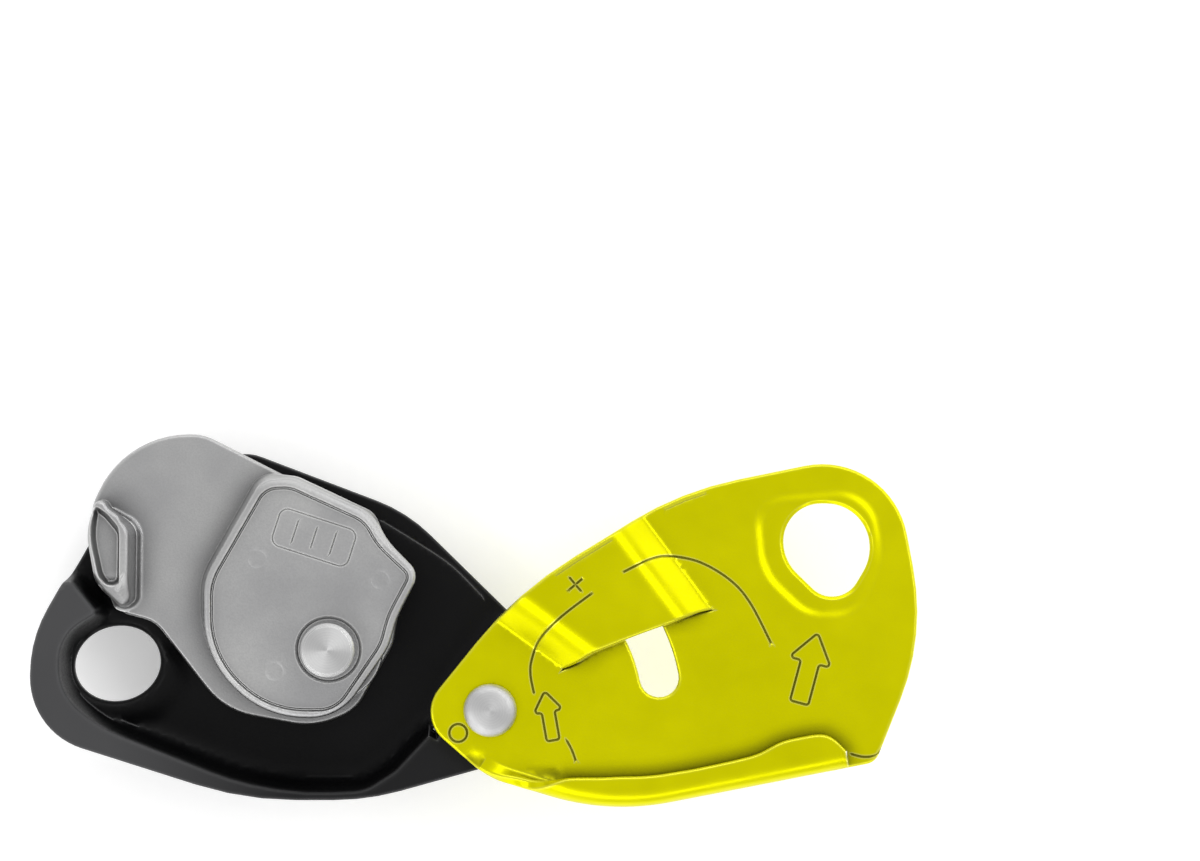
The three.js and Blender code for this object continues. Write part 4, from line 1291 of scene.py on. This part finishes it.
AXLE = [
    (0, 0), (3.6, 0), (4.0, 0.4), (4.0, 24.5), (3.9, 24.6), (3.1, 24.6), (3.0, 24.7), (3.0, 28.3),
    (4.6, 28.3), (4.84, 28.45), (4.86, 28.6), (4.86, 29.6), (4.82, 29.7), (4.58, 29.94), (4.5, 29.96),
    (4.42, 29.95), (4.36, 29.9), (4.3, 29.95), (4.2, 30.0), (2.2, 30.0), (1.1, 29.99), (0.35, 29.96),
    (0, 29.94),
]
DOME_TURNS = np.radians([0, 10, 20, 30, 40, 50, 60, 68, 75, 81, 86])
PIVOT_DOME = [(4.77 * math.cos(a) ** 0.5, 29.2 + 1.7 * math.sin(a) ** 0.9) for a in DOME_TURNS]
PIVOT_PIN = [
    (0, 5.6), (5.5, 5.6), (6.0, 5.8), (6.2, 6.3), (6.2, 7.5), (6.1, 7.6), (4.0, 7.6), (4.0, 25.4),
    (2.9, 25.4), (2.9, 28.3), (4.6, 28.3), (4.74, 28.4), *PIVOT_DOME, (0, 30.9),
]
HANDLE_PIN = [
    (0, 0.3), (3.3, 0.3), (3.65, 0.45), (3.8, 0.8), (3.8, 1.5), (2, 1.5), (2, 7.6), (3, 7.6), (3, 8.25),
    (2.85, 8.4), (0, 8.4),
]
stop_place = polar(CAM_STOP["radius"], CAM_STOP["angle"])
drive_place = polar(DRIVE_PIN["radius"], DRIVE_PIN["angle"])
PIN_STEEL = turned_steel("pin_steel", LEVER_PIN, tone=0.55)
CAM_STOP_PIN = rod(STOP_PIN_RADIUS, 9.3, CAM_STOP["top"])
HANDLE_STOP_PIN = rod(STOP_PIN_RADIUS, 4.9, 10.9)
AXLE_BORE = AXLE_RADIUS + RUNNING_GAP
AXIS = (0, 0)
TURNED_PARTS = [
    ("axle_turned", AXLE, AXIS, "frame", "cam_axle", AXLE_STEEL),
    ("pivot_turned", PIVOT_PIN, PIVOT, "frame", "plate_pivot_pin", PIVOT_STEEL),
    ("axle_washer_turned", sleeve(AXLE_BORE, 9.5, 0, 1.6), AXIS, "frame", "axle_rear_washer", AXLE_STEEL),
    ("pivot_washer_turned", sleeve(4.3, 7.4, 7.8, 8.8), PIVOT, "frame", "pivot_rear_washer", PIVOT_STEEL),
    ("cam_stop_turned", CAM_STOP_PIN, stop_place, "frame", "cam_stop_pin", PIN_STEEL),
    ("handle_stop_turned", HANDLE_STOP_PIN, HANDLE_STOP, "frame", "handle_stop_pin", PIN_STEEL),
    ("plate_bush_turned", sleeve(2.98, 3.8, *PLATE_Z), PIVOT, "moving_plate", "plate_bush", BRONZE),
    ("cam_bush_turned", sleeve(AXLE_BORE, 5.6, 11.8, 22), AXIS, "cam", "cam_bush", BRONZE),
    ("arm_bush_turned", sleeve(AXLE_BORE, 5.3, 1.9, 8.4), AXIS, "handle_arm", "arm_bush", BRONZE),
    ("handle_pin_turned", HANDLE_PIN, LEVER_PIN, "handle_arm", "handle_pin", PIN_STEEL),
    ("drive_pin_turned", rod(1.8, 5.4, 11.5), drive_place, "handle_arm", "drive_pin", PIN_STEEL),
    ("lever_bush_turned", sleeve(2.08, 2.8, 1.8, 4.6), LEVER_PIN, "lever", "lever_bush", BRONZE),
]
for row in TURNED_PARTS:
    turned_piece(*row)


def wave_washer(name, inner, outer, level, wave, centre, body, node):
    """A thin spring washer with three waves."""
    sides, half = 96, 0.08
    lift = level + wave * np.sin(3 * np.linspace(0, 2 * math.pi, sides, endpoint=False))
    section = ((inner, -half), (outer, -half), (outer, half), (inner, half))
    rings = [np.column_stack([circle(centre, radius, sides), lift + side]) for radius, side in section]
    vertices, faces = skin(rings, joined=True)
    piece(name, vertices, faces, body, [node], SPRING)


wave_washer("plate_wave_ring", 3.2, 5.6, 25.7, 0.06, PIVOT, "frame", "plate_wave_washer")
wave_washer("lever_wave_ring", 2.4, 4.4, 5.0, 0.06, LEVER_PIN, "lever", "lever_wave_washer")


COIL_STEPS = 40  # for each turn


def coil_spring(name, radius, wire, bottom, pitch, turns, body, node):
    """A helix of round wire round the axle."""
    t = np.linspace(0, 1, int(turns * COIL_STEPS) + 1)
    angles = 2 * math.pi * turns * t
    path = np.column_stack([radius * np.cos(angles), radius * np.sin(angles), bottom + pitch * turns * t])
    vertices, faces = tube(path, wire)
    piece(name, vertices, faces, body, [node], SPRING)


coil_spring("cam_spring_coil", 7.6, 0.6, 12.9, 1.6, 2.6, "frame", "cam_return_spring")
coil_spring("handle_spring_coil", 7.5, 0.46, 5.8, 1.1, 1.8, "handle_arm", "handle_return_spring")


# ---- The handle ----
ARM_HUB = [(0, 1.9), (9.4, 1.9), (9.85, 2.1), (10, 2.5), (10, 7.9), (9.85, 8.25), (9.4, 8.39), (0, 8.39)]
ARM_BORE = [(0, 1), (5.6, 1), (5.6, 9), (0, 9)]
ARM_SPRING_POCKET = [(6.4, 4.8), (8.8, 4.8), (8.8, 9), (6.4, 9)]
HANDLE_PIN_SEAT = [(0, 4), (2.08, 4), (2.08, 7.3), (3.3, 7.3), (3.3, 9), (0, 9)]
DRIVE_PIN_HOLE = [(0, 4), (1.88, 4), (1.88, 9), (0, 9)]
LEVER_BORE = [(0, -1), (4.2, -1), (4.2, 1.8), (3.1, 1.8), (3.1, 6), (0, 6)]
LEVER_RECESS_WALL = ((1.2, 2.4), (0.5, 2.6), (0.1, 3.1), (0, 3.6), (-0.3, 6))
GRIP_GROOVE = {"count": 5, "first_x": -38.5, "pitch": 4.2, "half_width": 0.55, "half_length": 3.2}
GRIP_GROOVE_WALL = ((-0.4, -1), (0, 0.2), (0.3, 0.7))


def handle_arm():
    """The forged arm: a hub round the axle, bored for its bush, spring and pins."""
    vertices, faces = rounded_slab(ARM, ARM_Z, 0.5)
    made = piece("handle_arm_forging", vertices, faces, body=None)
    combine(made, lathe(ARM_HUB), "UNION")
    cutters = [lathe(ARM_BORE), lathe(ARM_SPRING_POCKET)]
    cutters += [lathe(HANDLE_PIN_SEAT, LEVER_PIN, 48), lathe(DRIVE_PIN_HOLE, drive_place, 48)]
    for cutter in cutters:
        combine(made, cutter)
    finish_piece(made, "handle_arm", ["handle_arm"], FORGED, sharp=40)


def grip_groove(number):
    """A cutter for one of the grooves across the back of the lever's end."""
    x = GRIP_GROOVE["first_x"] + GRIP_GROOVE["pitch"] * number
    y = np.interp(x, [-40, -20], [15.2, 21.5])
    half_width, half_length = GRIP_GROOVE["half_width"], GRIP_GROOVE["half_length"]
    corners = [(x + half_width * across, y + half_length * up, 0.5) for across, up in CORNER_SIGNS]
    return loft([ring(corners, inset, level) for inset, level in GRIP_GROOVE_WALL])


def handle_lever():
    """The moulded lever: a swept grip with a recess in front and grooves on its back."""
    vertices, faces = rounded_slab(LEVER, LEVER_Z, 0.9)
    made = piece("handle_lever_moulding", vertices, faces, body=None)
    recess = loft([ring(LEVER_RECESS, inset, level) for inset, level in LEVER_RECESS_WALL])
    cutters = [recess, lathe(LEVER_BORE, LEVER_PIN, 64)]
    cutters += [grip_groove(number) for number in range(GRIP_GROOVE["count"])]
    for cutter in cutters:
        combine(made, cutter)
    finish_piece(made, "lever", ["handle_lever"], NYLON, sharp=40)


handle_arm()
handle_lever()

# ---- CAD nodes that stay, with better materials ----
for name in ("friction_plate", "friction_rivet_upper", "friction_rivet_lower"):
    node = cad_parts[name]
    node.data.materials.clear()
    node.data.materials.append(FORGED if name == "friction_plate" else PIN_STEEL)

# ---- Floor, light and camera ----
LIGHTS = [
    ("left_strip", (-0.62, -0.6, 1.15), (1.2, 0.35), 3.6),
    ("right_strip", (0.85, 0.5, 1.15), (1.2, 0.35), 3.6),
    ("low_left", (-0.6, -0.8, 0.2), (0.9, 0.35), 0.9),
    ("low_right", (0.9, 0.65, 0.2), (0.9, 0.35), 0.9),
    ("near", (0.1, -0.95, 0.75), (1.2, 0.3), 1.6),
    ("far", (0.0, 1.0, 0.9), (1.2, 0.3), 2.6),
]
LIGHT_TARGET = (0.03, 0.0, 0.015)
FLOOR_DROP = 0.1
VIEW_CENTRE = (49.0, 39.5)
CAMERA_HEIGHT = 1227.0


def floor():
    """A wide pale floor just under the device."""
    mesh = bpy.data.meshes.new("floor")
    mesh.from_pydata([(3.0 * x, 3.0 * y, 0) for x, y in CORNER_SIGNS], [], [(0, 1, 2, 3)])
    made = add_object("floor", mesh)
    made.location.z = -FLOOR_DROP * MM
    paint = Finish("pale_floor", metallic=0.0, roughness=0.8)
    speckle = paint.noise(500, 3)
    paint.put((1, 1, 1), paint.shader.inputs["Emission Color"])
    paint.shader.inputs["Emission Strength"].default_value = 0.3
    paint.colour(paint.blotches(speckle, (0.9, 0.9, 0.9), (0.93, 0.93, 0.93)))
    mesh.materials.append(paint.material)


def area_light(name, place, size, power):
    """A soft box that faces the device, in metres and watts."""
    data = bpy.data.lights.new(name, "AREA")
    data.shape = "RECTANGLE"
    data.size, data.size_y = size
    data.energy = power
    made = add_object(name, data)
    made.location = place
    made.rotation_euler = (Vector(LIGHT_TARGET) - Vector(place)).to_track_quat("-Z", "Y").to_euler()


def studio():
    """A soft dome, brighter towards the horizon, with a strip box at each side and one at the far end."""
    world = bpy.data.worlds.new("studio")
    world.use_nodes = True
    tree = world.node_tree
    height = tree.nodes.new("ShaderNodeSeparateXYZ")
    tree.links.new(tree.nodes.new("ShaderNodeTexCoord").outputs["Generated"], height.inputs[0])
    strength = tree.nodes.new("ShaderNodeMapRange")
    tree.links.new(height.outputs["Z"], strength.inputs["Value"])
    for socket, number in (("From Min", 0.0), ("From Max", 0.8), ("To Min", 0.95), ("To Max", 0.74)):
        strength.inputs[socket].default_value = number
    background = tree.nodes["Background"]
    background.inputs["Color"].default_value = (1, 1, 1, 1)
    tree.links.new(strength.outputs[0], background.inputs["Strength"])
    bpy.context.scene.world = world
    for light in LIGHTS:
        area_light(*light)


def camera():
    """A long lens looking straight down."""
    data = bpy.data.cameras.new("camera")
    data.lens = 200
    data.sensor_width = 36
    made = add_object("camera", data)
    made.location = (VIEW_CENTRE[0] * MM, VIEW_CENTRE[1] * MM, CAMERA_HEIGHT * MM)
    bpy.context.scene.camera = made


floor()
studio()
camera()
bpy.context.scene.view_settings.view_transform = "Standard"
